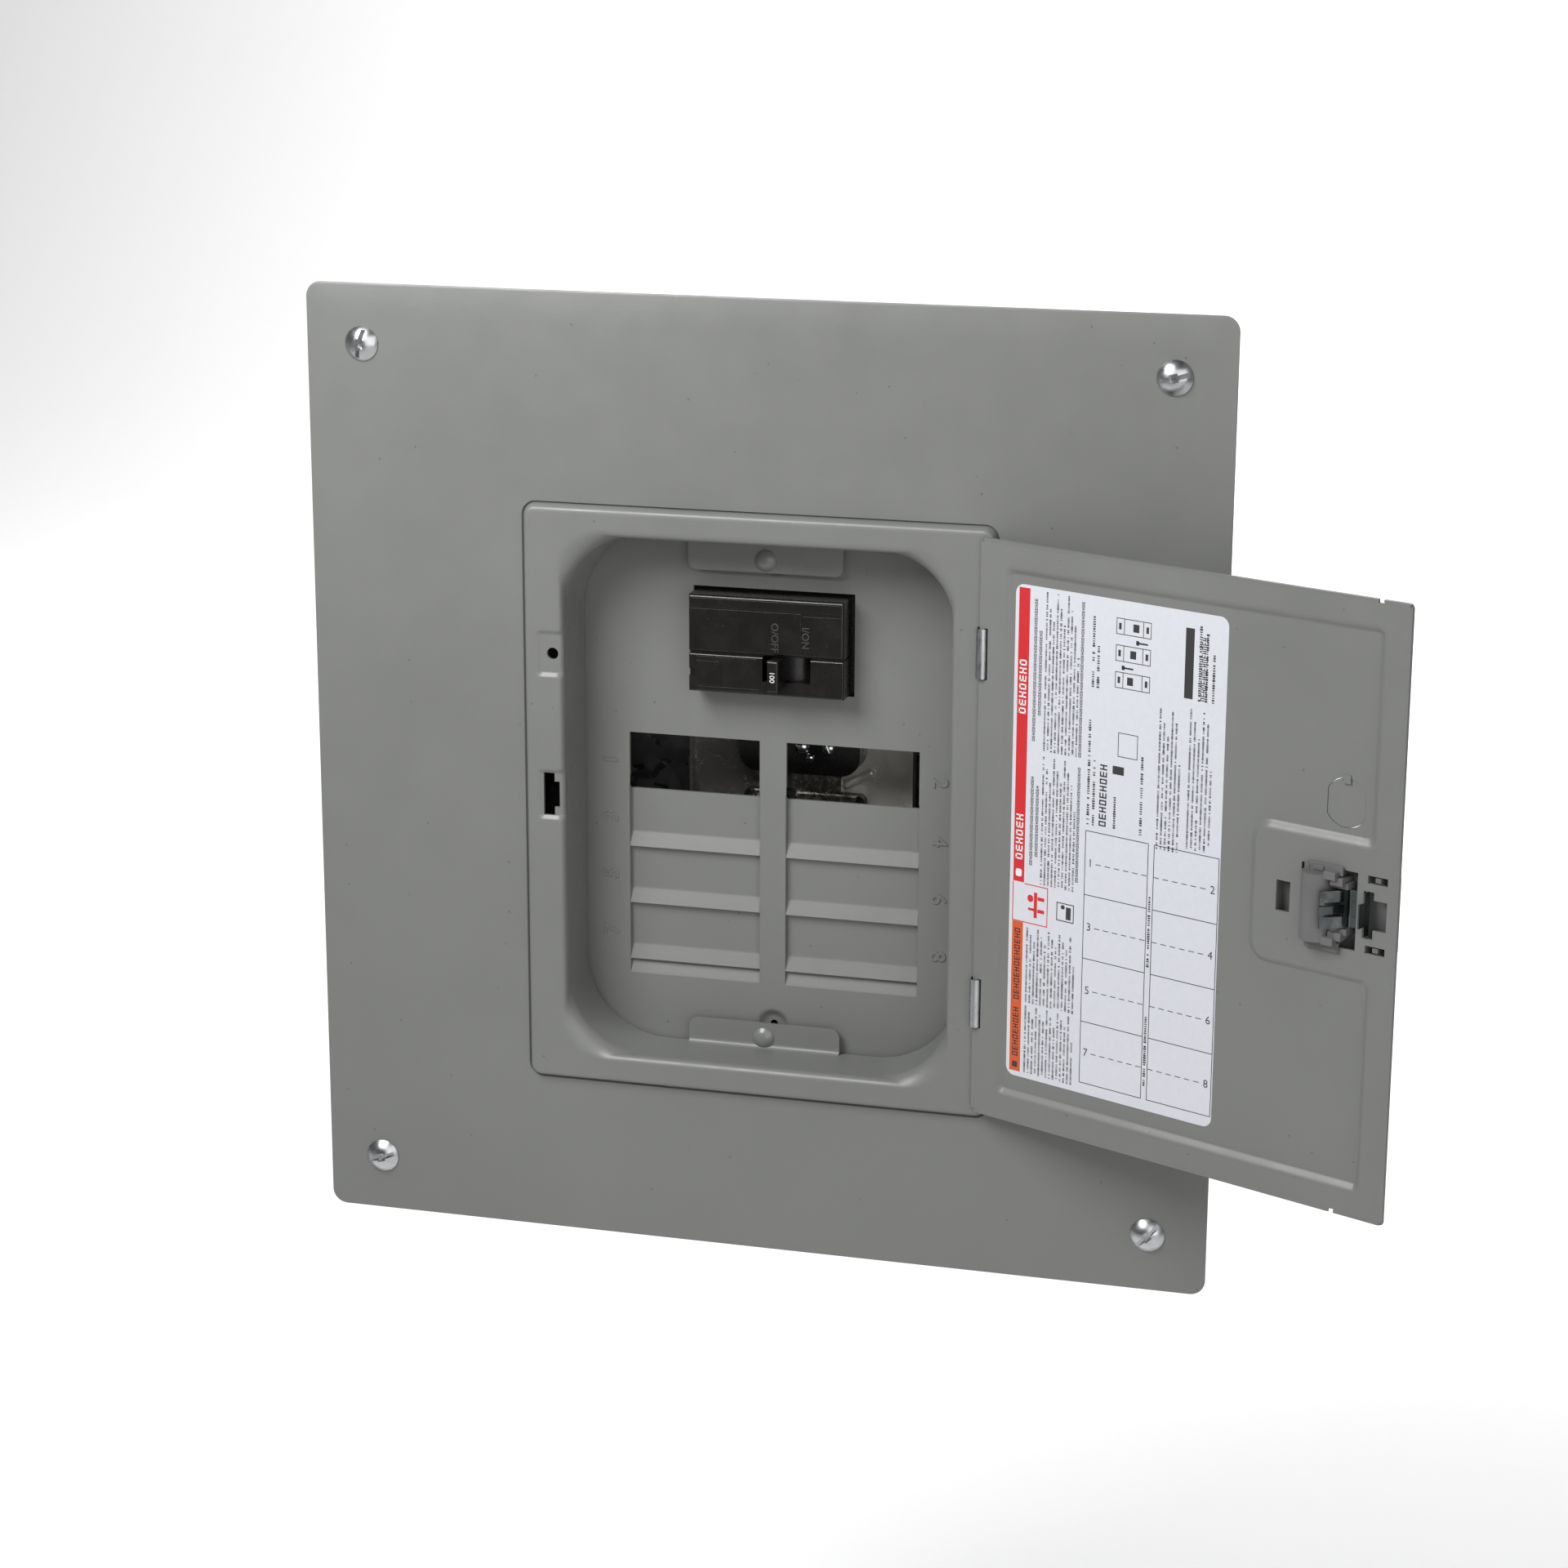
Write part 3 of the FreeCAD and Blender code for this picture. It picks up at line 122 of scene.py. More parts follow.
LABEL_FACE, INK_ROOT = DOOR_INNER - PRESS + 0.15, 0.005     # ink starts a little inside the vinyl
BREAKER_X, BREAKER_Z = (-33.6, 33.6), (36.9, 78.4)
HANDLE_X, HANDLE_Z, HANDLE_PIVOT, LEVER_REACH, HANDLE_TILT = 8.9, 46.6, 33.0, 24.72, -10.0
MOUTH_ROLL = 3.2
PADS = ((STRIKE_Z, 10.1), (LOCK_Z, 9.1))
CORNER_STEPS = 12
DOOR_BOX = (*DOOR_U, *DOOR_Z)
PANEL = (10.2, 187.0, -121.0, 103.8)
LATCH_PAD = (134.4, 230.0, -33.0, 17.0)
SLUG = (171.4, 32.9)

# ---- the label's layout, u across from the hinge and z up ----
TABLE = (52.5, 115.9, -106.0, 0.5)
TABLE_MIDDLE = (82.7, 85.5)
TABLE_ROWS = (-26.2, -53.0, -79.8)
TABLE_DASHES = (-12.8, -39.6, -66.4, -92.9)
WHITE_WORDS = ((-17.5, 3.0), (43.5, 67.0))
DARK_WORDS = ((-102.0, -79.5), (-77.5, -45.5))
BOLD_WORDS = ((25.0, 26.4, -19.0, 19.0, 1.25), (27.6, 29.0, -15.0, 15.0, 1.25),
              (25.0, 26.4, 33.0, 92.0, 1.25), (27.6, 29.0, 44.0, 80.0, 1.25), (58.6, 62.0, 3.6, 32.0, 2.9),
              (47.9, 49.2, -22.0, 27.0, 1.2), (47.9, 49.2, 30.0, 94.0, 1.2), (104.6, 107.4, 62.0, 88.0, 1.7))
RED_SKETCH = [(24.6, 27.4, -34.6, -31.6, 1.2), (27.8, 29.4, -41.0, -30.2), (29.6, 33.0, -33.4, -31.9),
              (29.6, 33.0, -38.6, -37.1), (25.0, 28.0, -38.2, -37.1)]
DARK_SKETCH = [(39.1, 47.7, -39.7, -39.3), (39.1, 47.7, -32.3, -31.9), (39.1, 39.5, -39.7, -31.9),
               (47.3, 47.7, -39.7, -31.9), (41.2, 43.2, -34.6, -32.8, 0.9), (43.8, 46.2, -38.6, -33.4)]
BLOCK_LINES = [(66.8, 76.2, 33.4, 33.7), (66.8, 76.2, 43.0, 43.3), (66.8, 67.1, 33.4, 43.3),
               (75.9, 76.2, 33.4, 43.3), (64.6, 70.0, 26.0, 29.4), (97.0, 101.0, 62.0, 90.0)]
# name, blocks (u0, u1, z0, z1, line pitch), letter pitch, letter height, share printed
SMALL_PRINT = (
    ("label_fine_print", ((31.0, 47.5, -26.0, 27.0, 1.75), (31.0, 47.5, 30.0, 94.5, 1.75),
                          (24.8, 48.6, -108.0, -79.5, 1.8), (24.8, 48.6, -77.5, -46.0, 1.8),
                          (86.5, 97.5, -0.5, 56.0, 1.9), (100.6, 112.4, 2.0, 58.0, 2.0)), 0.72, 1.0, 0.84),
    ("label_plain_print", ((53.2, 56.4, 3.4, 46.0, 2.6), (66.0, 66.4, 4.0, 24.0, 2.4),
                           (78.6, 80.0, 3.4, 54.0, 2.6), (54.0, 58.6, 60.0, 88.0, 2.4),
                           (104.0, 112.0, 62.0, 92.0, 3.2), (84.0, 84.4, -100.0, -54.0, 1.6),
                           (84.0, 84.4, -50.0, -4.0, 1.6)), 0.95, 1.35, 0.84),
)


# ---- mesh tools ----
def link(name, mesh):
    obj = bpy.data.objects.new(name, mesh)
    bpy.context.scene.collection.objects.link(obj)
    return obj


def raw(name, verts, faces):
    mesh = bpy.data.meshes.new(name)
    mesh.from_pydata(verts, [], faces)
    return link(name, mesh)


def settle(obj):
    """Apply every modifier by taking the evaluated mesh."""
    graph = bpy.context.evaluated_depsgraph_get()
    mesh = bpy.data.meshes.new_from_object(obj.evaluated_get(graph))
    obj.modifiers.clear()
    obj.data = mesh


def outward(obj):
    """Weld doubles and turn every face of the closed shells outwards."""
    bm = bmesh.new()
    bm.from_mesh(obj.data)
    bmesh.ops.remove_doubles(bm, verts=bm.verts, dist=1e-6)
    bmesh.ops.recalc_face_normals(bm, faces=bm.faces)
    bm.to_mesh(obj.data)
    bm.free()


def thicken(obj, thickness):
    solid = obj.modifiers.new("Sheet", "SOLIDIFY")
    solid.thickness = thickness
    solid.offset = -1
    solid.use_even_offset = True
    settle(obj)
    outward(obj)


def carve(obj, cutters):
    """Cut away closed shapes that don't touch each other."""
    tool = cutters.object("cutter")
    cut = obj.modifiers.new("Cut", "BOOLEAN")
    cut.operation = "DIFFERENCE"
    cut.solver = "EXACT"
    cut.object = tool
    settle(obj)
    bpy.data.objects.remove(tool)


def shade(obj, angle=32.0):
    """Smooth faces, with a crease wherever they meet at more than the angle."""
    mesh = obj.data
    mesh.polygons.foreach_set("use_smooth", [True] * len(mesh.polygons))
    mesh.set_sharp_from_angle(angle=math.radians(angle))
    weighted = obj.modifiers.new("Flats", "WEIGHTED_NORMAL")
    weighted.keep_sharp = True
    settle(obj)


def finish_piece(obj, finish, body, slot, stands_for=(), swung=False, angle=32.0):
    """Place a drawn mesh in the row frame, shade it, and say what it rides on and stands for."""
    obj.data.transform(SWUNG if swung else TO_ROW)
    shade(obj, angle)
    obj.data.materials.clear()
    obj.data.materials.append(material(finish))
    obj.data.polygons.foreach_set("material_index", [0] * len(obj.data.polygons))
    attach(obj, body)
    if stands_for:
        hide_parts(*stands_for)
    return obj


class Drawing:
    """Closed shapes collected in one mesh."""

    def __init__(self):
        self.bm = bmesh.new()

    def _bevel(self, verts, bevel):
        if bevel:
            edges = list({edge for vert in verts for edge in vert.link_edges})
            bmesh.ops.bevel(self.bm, geom=edges, offset=bevel, segments=2, profile=0.5,
                            affect="EDGES", clamp_overlap=True)

    def box(self, x, y, z, bevel=0.0, turn=None):
        """Block over the ranges x, y, z; turn is (point, axis, degrees)."""
        size = Vector((x[1] - x[0], y[1] - y[0], z[1] - z[0]))
        middle = Vector(((x[0] + x[1]) / 2, (y[0] + y[1]) / 2, (z[0] + z[1]) / 2))
        place = Matrix.Translation(middle) @ Matrix.Diagonal((*size, 1.0))
        verts = bmesh.ops.create_cube(self.bm, size=1.0, matrix=place)["verts"]
        if turn:
            point, axis, degrees = turn
            bmesh.ops.rotate(self.bm, verts=verts, cent=point,
                             matrix=Matrix.Rotation(math.radians(degrees), 3, axis))
        self._bevel(verts, bevel)
        return self

    def prism(self, outline, along, bevel=0.0):
        """Polygon of 3-D points swept by the vector along."""
        low = [self.bm.verts.new(point) for point in outline]
        high = [self.bm.verts.new(Vector(point) + Vector(along)) for point in outline]
        count = len(low)
        self.bm.faces.new(low)
        self.bm.faces.new(high[::-1])
        for i in range(count):
            self.bm.faces.new((low[i], high[i], high[(i + 1) % count], low[(i + 1) % count]))
        bmesh.ops.recalc_face_normals(self.bm, faces=list({f for v in low + high for f in v.link_faces}))
        self._bevel(low + high, bevel)
        return self

    def rod(self, start, end, radius, sides=32):
        """Round bar."""
        start, end = Vector(start), Vector(end)
        run = end - start
        turn = run.to_track_quat("Z", "Y").to_matrix().to_4x4()
        bmesh.ops.create_cone(self.bm, cap_ends=True, segments=sides, radius1=radius, radius2=radius,
                              depth=run.length, matrix=Matrix.Translation((start + end) / 2) @ turn)
        return self

    def through(self, x, z, y, radius):
        """Round bar through a sheet, from y[0] to y[1] deep."""
        return self.rod((x, y[0], z), (x, y[1], z), radius)

    def plate(self, x, z, y, radius, bevel=0.0, corner=6):
        """Flat plate with rounded corners over the ranges x and z, y[0] to y[1] deep."""
        outline = [(px, y[0], pz) for px, pz in rounded_outline(x, z, radius, corner)]
        return self.prism(outline, (0, y[1] - y[0], 0), bevel)

    def object(self, name):
        mesh = bpy.data.meshes.new(name)
        self.bm.to_mesh(mesh)
        self.bm.free()
        return link(name, mesh)


def rounded_outline(x, z, radius, corner):
    """Rounded rectangle, anticlockwise seen from the front."""
    centres = [(x[1] - radius, z[0] + radius, -90), (x[1] - radius, z[1] - radius, 0),
               (x[0] + radius, z[1] - radius, 90), (x[0] + radius, z[0] + radius, 180)]
    points = []
    for cx, cz, start in centres:
        for i in range(corner + 1):
            angle = math.radians(start + 90 * i / corner)
            points.append((cx + radius * math.cos(angle), cz + radius * math.sin(angle)))
    return points


def blend(t):
    """Smooth step from 0 to 1."""
    t = min(max(t, 0.0), 1.0)
    return t * t * (3 - 2 * t)


def mix(a, b, t):
    return a + (b - a) * t


def stops(low, high, coarse, marks=(), bands=()):
    """Grid lines: coarse steps, a close pair at each mark, and fine steps in each band (from, to, step)."""
    values = {low, high}
    count = max(1, round((high - low) / coarse))
    values.update(mix(low, high, i / count) for i in range(1, count))
    for start, end, step in bands:
        values = {v for v in values if not start < v < end}
        steps = max(1, round((end - start) / step))
        values.update(mix(start, end, i / steps) for i in range(steps + 1))
    for mark in marks:
        values = {v for v in values if abs(v - mark) > 0.5}
        values.update((mark - 0.1, mark + 0.1))
    kept = []
    for value in sorted(v for v in values if low <= v <= high):
        if not kept or value - kept[-1] > 0.04:
            kept.append(value)
    return kept


def grid_faces(wide, tall, keep=lambda col, row: True):
    """Faces over rows of points, facing the front, without the cells that keep refuses."""
    corners = ((row * wide + col, col, row) for row in range(tall - 1) for col in range(wide - 1))
    return [(a, a + 1, a + wide + 1, a + wide) for a, col, row in corners if keep(col, row)]


def height_sheet(name, xs, zs, depth, keep=lambda x, z: True):
    """A sheet over a grid, pressed to depth(x, z), without the cells that keep refuses."""
    def kept(col, row):
        return keep((xs[col] + xs[col + 1]) / 2, (zs[row] + zs[row + 1]) / 2)

    return raw(name, [(x, depth(x, z), z) for z in zs for x in xs], grid_faces(len(xs), len(zs), kept))


# ---- materials ----
class Nodes:
    """Short names for building a node tree."""

    def __init__(self, tree):
        self.tree = tree

    def add(self, kind, **settings):
        """A new node; each setting is a property of it or the value of one of its inputs."""
        node = self.tree.nodes.new(kind)
        for name, value in settings.items():
            if hasattr(node, name):
                setattr(node, name, value)
            else:
                node.inputs[name.replace("_", " ")].default_value = value
        return node

    def join(self, source, target):
        self.tree.links.new(source, target)


class Finish(Nodes):
    """A Principled material whose textures run over the object's own coordinates."""

    def __init__(self, name, colour, roughness, metallic=0.0, specular=0.5):
        self.material = bpy.data.materials.new(name)
        self.material.use_nodes = True
        super().__init__(self.material.node_tree)
        self.shader = self.tree.nodes["Principled BSDF"].inputs
        self.shader["Base Color"].default_value = (*colour, 1)
        self.shader["Roughness"].default_value = roughness
        self.shader["Metallic"].default_value = metallic
        self.shader["Specular IOR Level"].default_value = specular
        self.where = self.add("ShaderNodeTexCoord").outputs["Object"]

    def texture(self, kind, where=None, **settings):
        tex = self.add("ShaderNodeTex" + kind, **settings)
        self.join(self.where if where is None else where, tex.inputs["Vector"])
        return tex.outputs

    def noise(self, scale, detail=3.0, rough=0.55, stretch=None, where=None):
        """Noise; stretch scales the axes apart, for brushed or drawn grain."""
        if stretch:
            mapping = self.add("ShaderNodeMapping", Scale=stretch)
            self.join(self.where, mapping.inputs["Vector"])
            where = mapping.outputs["Vector"]
        return self.texture("Noise", where, Scale=scale, Detail=detail, Roughness=rough)["Fac"]

    def spread(self, value, low, high, to_low=0.0, to_high=1.0):
        """Map a value's range onto another, clamped."""
        node = self.add("ShaderNodeMapRange", From_Min=low, From_Max=high, To_Min=to_low, To_Max=to_high)
        self.join(value, node.inputs["Value"])
        return node.outputs["Result"]

    def cloud(self, scale, detail, low, high, strength=1.0, rough=0.55):
        """Noise drawn out to run from 0, where it is low, to the strength, where it is high."""
        return self.spread(self.noise(scale, detail, rough), low, high, 0.0, strength)

    def drift(self, scale, low, high):
        """A roughness that wanders between low and high."""
        return self.spread(self.noise(scale), 0.3, 0.7, low, high)

    def specks(self, scale, size):
        """Sparse round specks: 1 inside a speck, 0 outside."""
        return self.spread(self.texture("Voronoi", Scale=scale)["Distance"], size, size * 0.6)

    def mixed(self, factor, first, second):
        """Blend two colours by a factor; each is a plain colour or another node's output."""
        node = self.add("ShaderNodeMix", data_type="RGBA")
        self.join(factor, node.inputs["Factor"])
        slots = [socket for socket in node.inputs if socket.type == "RGBA"]
        for source, socket in zip((first, second), slots):
            if isinstance(source, bpy.types.NodeSocket):
                self.join(source, socket)
            else:
                socket.default_value = (*source, 1)
        return node.outputs[2]

    def done(self, tone, gloss, height, strength, distance):
        """Join the tone, the roughness and a bump from the height, and give the material."""
        bump = self.add("ShaderNodeBump", Strength=strength, Distance=distance)
        self.join(height, bump.inputs["Height"])
        self.join(tone, self.shader["Base Color"])
        self.join(gloss, self.shader["Roughness"])
        self.join(bump.outputs["Normal"], self.shader["Normal"])
        return self.material


def scaled(colour, factor, lift=0.0):
    """A colour made darker or lighter, up to full white."""
    return [min(1.0, c * factor + lift) for c in colour]


def enamel(name, colour, roughness=0.4):
    """Baked satin enamel: a fine orange peel, slow drifts of tone and a little dust."""
    coat = Finish(name, colour, roughness)
    tone = coat.mixed(coat.cloud(9.0, 2.0, 0.3, 0.7), colour, scaled(colour, 1.07, 0.004))
    tone = coat.mixed(coat.specks(90.0, 0.05), tone, scaled(colour, 0.62))
    gloss = coat.drift(60.0, roughness - 0.05, roughness + 0.06)
    return coat.done(tone, gloss, coat.noise(620.0, 2.0), 0.10, 0.0004)


def zinc(name, colour=(0.50, 0.51, 0.52), roughness=0.27, stained=0.3):
    """Bright zinc plate with a faint cloud, fine handling marks and darker stains."""
    coat = Finish(name, colour, roughness, metallic=1.0)
    tone = coat.mixed(coat.cloud(130.0, 3.0, 0.35, 0.7), colour, scaled(colour, 0.84))
    tone = coat.mixed(coat.cloud(330.0, 5.0, 0.60, 0.72, stained, 0.7), tone, scaled(colour, 0.35))
    gloss = coat.drift(200.0, roughness * 0.75, roughness * 1.5)
    return coat.done(tone, gloss, coat.noise(160.0, 1.0), 0.03, 0.0002)


def galvanised(name, colour=(0.52, 0.53, 0.54), roughness=0.34):
    """Hot-dip coat: crystal spangles that differ in tone and gloss, scratches and white specks."""
    coat = Finish(name, colour, roughness, metallic=1.0)
    bend = coat.add("ShaderNodeMix", data_type="VECTOR")
    bend.inputs[0].default_value = 0.012
    coat.join(coat.where, bend.inputs[4])
    coat.join(coat.texture("Noise", Scale=90.0)["Color"], bend.inputs[5])
    split = coat.add("ShaderNodeSeparateColor")
    coat.join(coat.texture("Voronoi", bend.outputs[1], Scale=150.0)["Color"], split.inputs["Color"])
    tone = coat.mixed(split.outputs["Red"], scaled(colour, 0.82), scaled(colour, 1.16))
    tone = coat.mixed(coat.specks(330.0, 0.10), tone, (0.85, 0.84, 0.82))
    gloss = coat.spread(split.outputs["Green"], 0.0, 1.0, roughness * 0.75, roughness * 1.35)
    return coat.done(tone, gloss, coat.noise(240.0, 5.0, stretch=(7, 7, 1)), 0.08, 0.0002)


def rolled(name, colour=(0.86, 0.82, 0.77)):
    """Half-bright rolled sheet, with painted shade darkening its left side, lint specks and long curled
    scratches.
    """
    darkest_x, unshaded_x = -0.006, 0.004        # metres across: painted shade is full left of the first and gone right of the second
    coat = Finish(name, colour, 0.3, metallic=0.45)
    tone = coat.mixed(coat.cloud(55.0, 4.0, 0.3, 0.75), colour, scaled(colour, 0.72))
    across = coat.add("ShaderNodeSeparateXYZ")
    coat.join(coat.where, across.inputs[0])
    # Painted shade: the tone falls to a quarter towards the left across x, standing in for shade over that
    # side of the pan.
    painted_shade = coat.spread(across.outputs[0], darkest_x, unshaded_x, 1.0, 0.0)
    tone = coat.mixed(painted_shade, tone, scaled(colour, 0.25))
    tone = coat.mixed(coat.specks(330.0, 0.07), tone, (0.9, 0.9, 0.88))
    curl = coat.noise(9.0, 1.0, where=coat.texture("Noise", Scale=26.0)["Color"])
    scratch = coat.add("ShaderNodeMath", operation="MULTIPLY")
    coat.join(coat.spread(curl, 0.497, 0.5), scratch.inputs[0])
    coat.join(coat.spread(curl, 0.5, 0.503, 1.0, 0.0), scratch.inputs[1])
    tone = coat.mixed(scratch.outputs[0], tone, (0.85, 0.85, 0.83))
    return coat.done(tone, coat.drift(90.0, 0.22, 0.42), coat.noise(150.0, 2.0), 0.06, 0.0003)


def moulding(name, colour, roughness=0.42, dust=0.0, grain=900.0):
    """Moulded plastic: fine texture, and lint on it where dust is over 0."""
    coat = Finish(name, colour, roughness, specular=0.45)
    tone = coat.mixed(coat.cloud(45.0, 4.0, 0.3, 0.75), colour, scaled(colour, 1.15, 0.001))
    if dust:
        tone = coat.mixed(coat.specks(420.0, dust), tone, (0.42, 0.40, 0.39))
        tone = coat.mixed(coat.specks(150.0, dust * 0.5), tone, (0.30, 0.29, 0.28))
    gloss = coat.drift(130.0, roughness - 0.06, roughness + 0.08)
    return coat.done(tone, gloss, coat.noise(grain, 2.0), 0.12, 0.0003)


def plated(name, colour, roughness):
    """Tin plate or bare metal bar with a drawn grain and faint stains."""
    coat = Finish(name, colour, roughness, metallic=1.0)
    tone = coat.mixed(coat.cloud(90.0, 3.0, 0.42, 0.7), colour, scaled(colour, 0.8))
    gloss = coat.drift(500.0, roughness * 0.7, roughness * 1.6)
    return coat.done(tone, gloss, coat.noise(220.0, 2.0, stretch=(1, 1, 0.1)), 0.05, 0.0001)


def printed(name, colour, roughness=0.36):
    """Ink or bare vinyl: an even coat with a slight mottle and gloss drift."""
    coat = Finish(name, colour, roughness, specular=0.4)
    tone = coat.mixed(coat.cloud(420.0, 2.0, 0.3, 0.7), colour, scaled(colour, 0.965))
    gloss = coat.drift(30.0, roughness - 0.05, roughness + 0.08)
    return coat.done(tone, gloss, coat.noise(1500.0, 2.0), 0.05, 0.0002)


MATERIALS = {}


def material(name):
    """The panel's finishes, each made once from the colours in the settings."""
    if name not in MATERIALS:
        look = bpy.context.scene.load_center_colours
        makers = {
            "grey_enamel": (enamel, look.enamel),
            "rivet_enamel": (enamel, scaled(look.enamel, 1.1), 0.3),
            "zinc_plate": (zinc,),
            "bright_zinc": (zinc, (0.66, 0.68, 0.69), 0.2, 0.1),
            "spring_zinc": (zinc, (0.20, 0.22, 0.22), 0.14, 0.1),
            "galvanised_box": (galvanised,),
            "pan_steel": (rolled,),
            "breaker_moulding": (moulding, look.moulding, 0.25, 0.035),
            "rubbed_moulding": (moulding, (0.040, 0.036, 0.034), 0.35),
            "black_insulator": (moulding, (0.012, 0.012, 0.013), 0.35, 0.05),
            "latch_nylon": (moulding, look.latch, 0.45, 0.0, 500.0),
            "tin_plate": (plated, (0.74, 0.71, 0.66), 0.22),
            "lug_metal": (plated, (0.70, 0.71, 0.72), 0.34),
            "copper": (plated, (0.78, 0.42, 0.26), 0.28),
            "green_dye": (enamel, (0.02, 0.18, 0.06), 0.3),
            "label_vinyl": (printed, look.label, 0.34),
            "red_ink": (printed, look.red, 0.33),
            "orange_ink": (printed, look.orange, 0.33),
            "black_ink": (printed, (0.035, 0.033, 0.034), 0.4),
            "white_ink": (printed, (0.66, 0.66, 0.67), 0.35),
        }
        maker, *values = makers[name]
        MATERIALS[name] = maker(name, *values)
    return MATERIALS[name]


def dress(node, finish):
    """Give a CAD node its finish."""
    obj = frame["nodes"][node]
    obj.data.materials.clear()
    obj.data.materials.append(material(finish))


def dress_all(finishes):
    for finish, nodes in finishes.items():
        for node in nodes:
            dress(node, finish)


# ---- Geometry Nodes ----
class Network(Nodes):
    """A geometry node group with named inputs, for what repeats."""

    def __init__(self, name, inputs):
        super().__init__(bpy.data.node_groups.new(name, "GeometryNodeTree"))
        self.tree.is_modifier = True
        sockets = self.tree.interface
        sockets.new_socket("Geometry", in_out="INPUT", socket_type="NodeSocketGeometry")
        sockets.new_socket("Geometry", in_out="OUTPUT", socket_type="NodeSocketGeometry")
        for label, kind in inputs.items():
            sockets.new_socket(label, in_out="INPUT", socket_type="NodeSocket" + kind)
        self.given = self.add("NodeGroupInput").outputs

    def value(self, source, socket):
        """Join an output, or set a plain number or tuple."""
        if isinstance(source, bpy.types.NodeSocket):
            self.join(source, socket)
        else:
            socket.default_value = source

    def math(self, operation, first, second=0.0):
        node = self.add("ShaderNodeMath", operation=operation)
        self.value(first, node.inputs[0])
        self.value(second, node.inputs[1])
        return node.outputs[0]

    def vector(self, x=0.0, y=0.0, z=0.0):
        node = self.add("ShaderNodeCombineXYZ")
        for source, socket in zip((x, y, z), node.inputs):
            self.value(source, socket)
        return node.outputs[0]

    def moved(self, shape, offset):
        node = self.add("GeometryNodeTransform")
        self.join(shape, node.inputs["Geometry"])
        self.join(offset, node.inputs["Translation"])
        return node.outputs["Geometry"]

    def block(self, size):
        node = self.add("GeometryNodeMeshCube")
        self.join(size, node.inputs["Size"])
        return node.outputs["Mesh"]

    def cylinder(self, radius, depth, sides, rings=1):
        node = self.add("GeometryNodeMeshCylinder", fill_type="TRIANGLE_FAN", Vertices=sides,
                        Fill_Segments=rings)
        self.value(radius, node.inputs["Radius"])
        self.value(depth, node.inputs["Depth"])
        return node.outputs["Mesh"]

    def end(self, instances):
        """Realize the instances and give them the finish."""
        real = self.add("GeometryNodeRealizeInstances")
        paint = self.add("GeometryNodeSetMaterial")
        self.join(instances, real.inputs[0])
        self.join(real.outputs[0], paint.inputs["Geometry"])
        self.join(self.given["Finish"], paint.inputs["Material"])
        self.join(paint.outputs[0], self.add("NodeGroupOutput").inputs[0])


def run_network(tree, name, points, values, lines=False, turns=()):
    """A plain mesh from a tree: points are its spots, or pairs of line ends, in millimetres."""
    mesh = bpy.data.meshes.new(name)
    edges = [(i, i + 1) for i in range(0, len(points), 2)] if lines else []
    mesh.from_pydata(points, edges, [])
    if turns:
        attribute = mesh.attributes.new("turn", "FLOAT", "POINT")
        attribute.data.foreach_set("value", [math.radians(-turn) for turn in turns])
    obj = link(name, mesh)
    made = obj.modifiers.new("Repeat", "NODES")
    made.node_group = tree
    sockets = {item.name: item.identifier for item in tree.interface.items_tree if item.in_out == "INPUT"}
    for label, value in values.items():
        made[sockets[label]] = value
    settle(obj)
    return obj


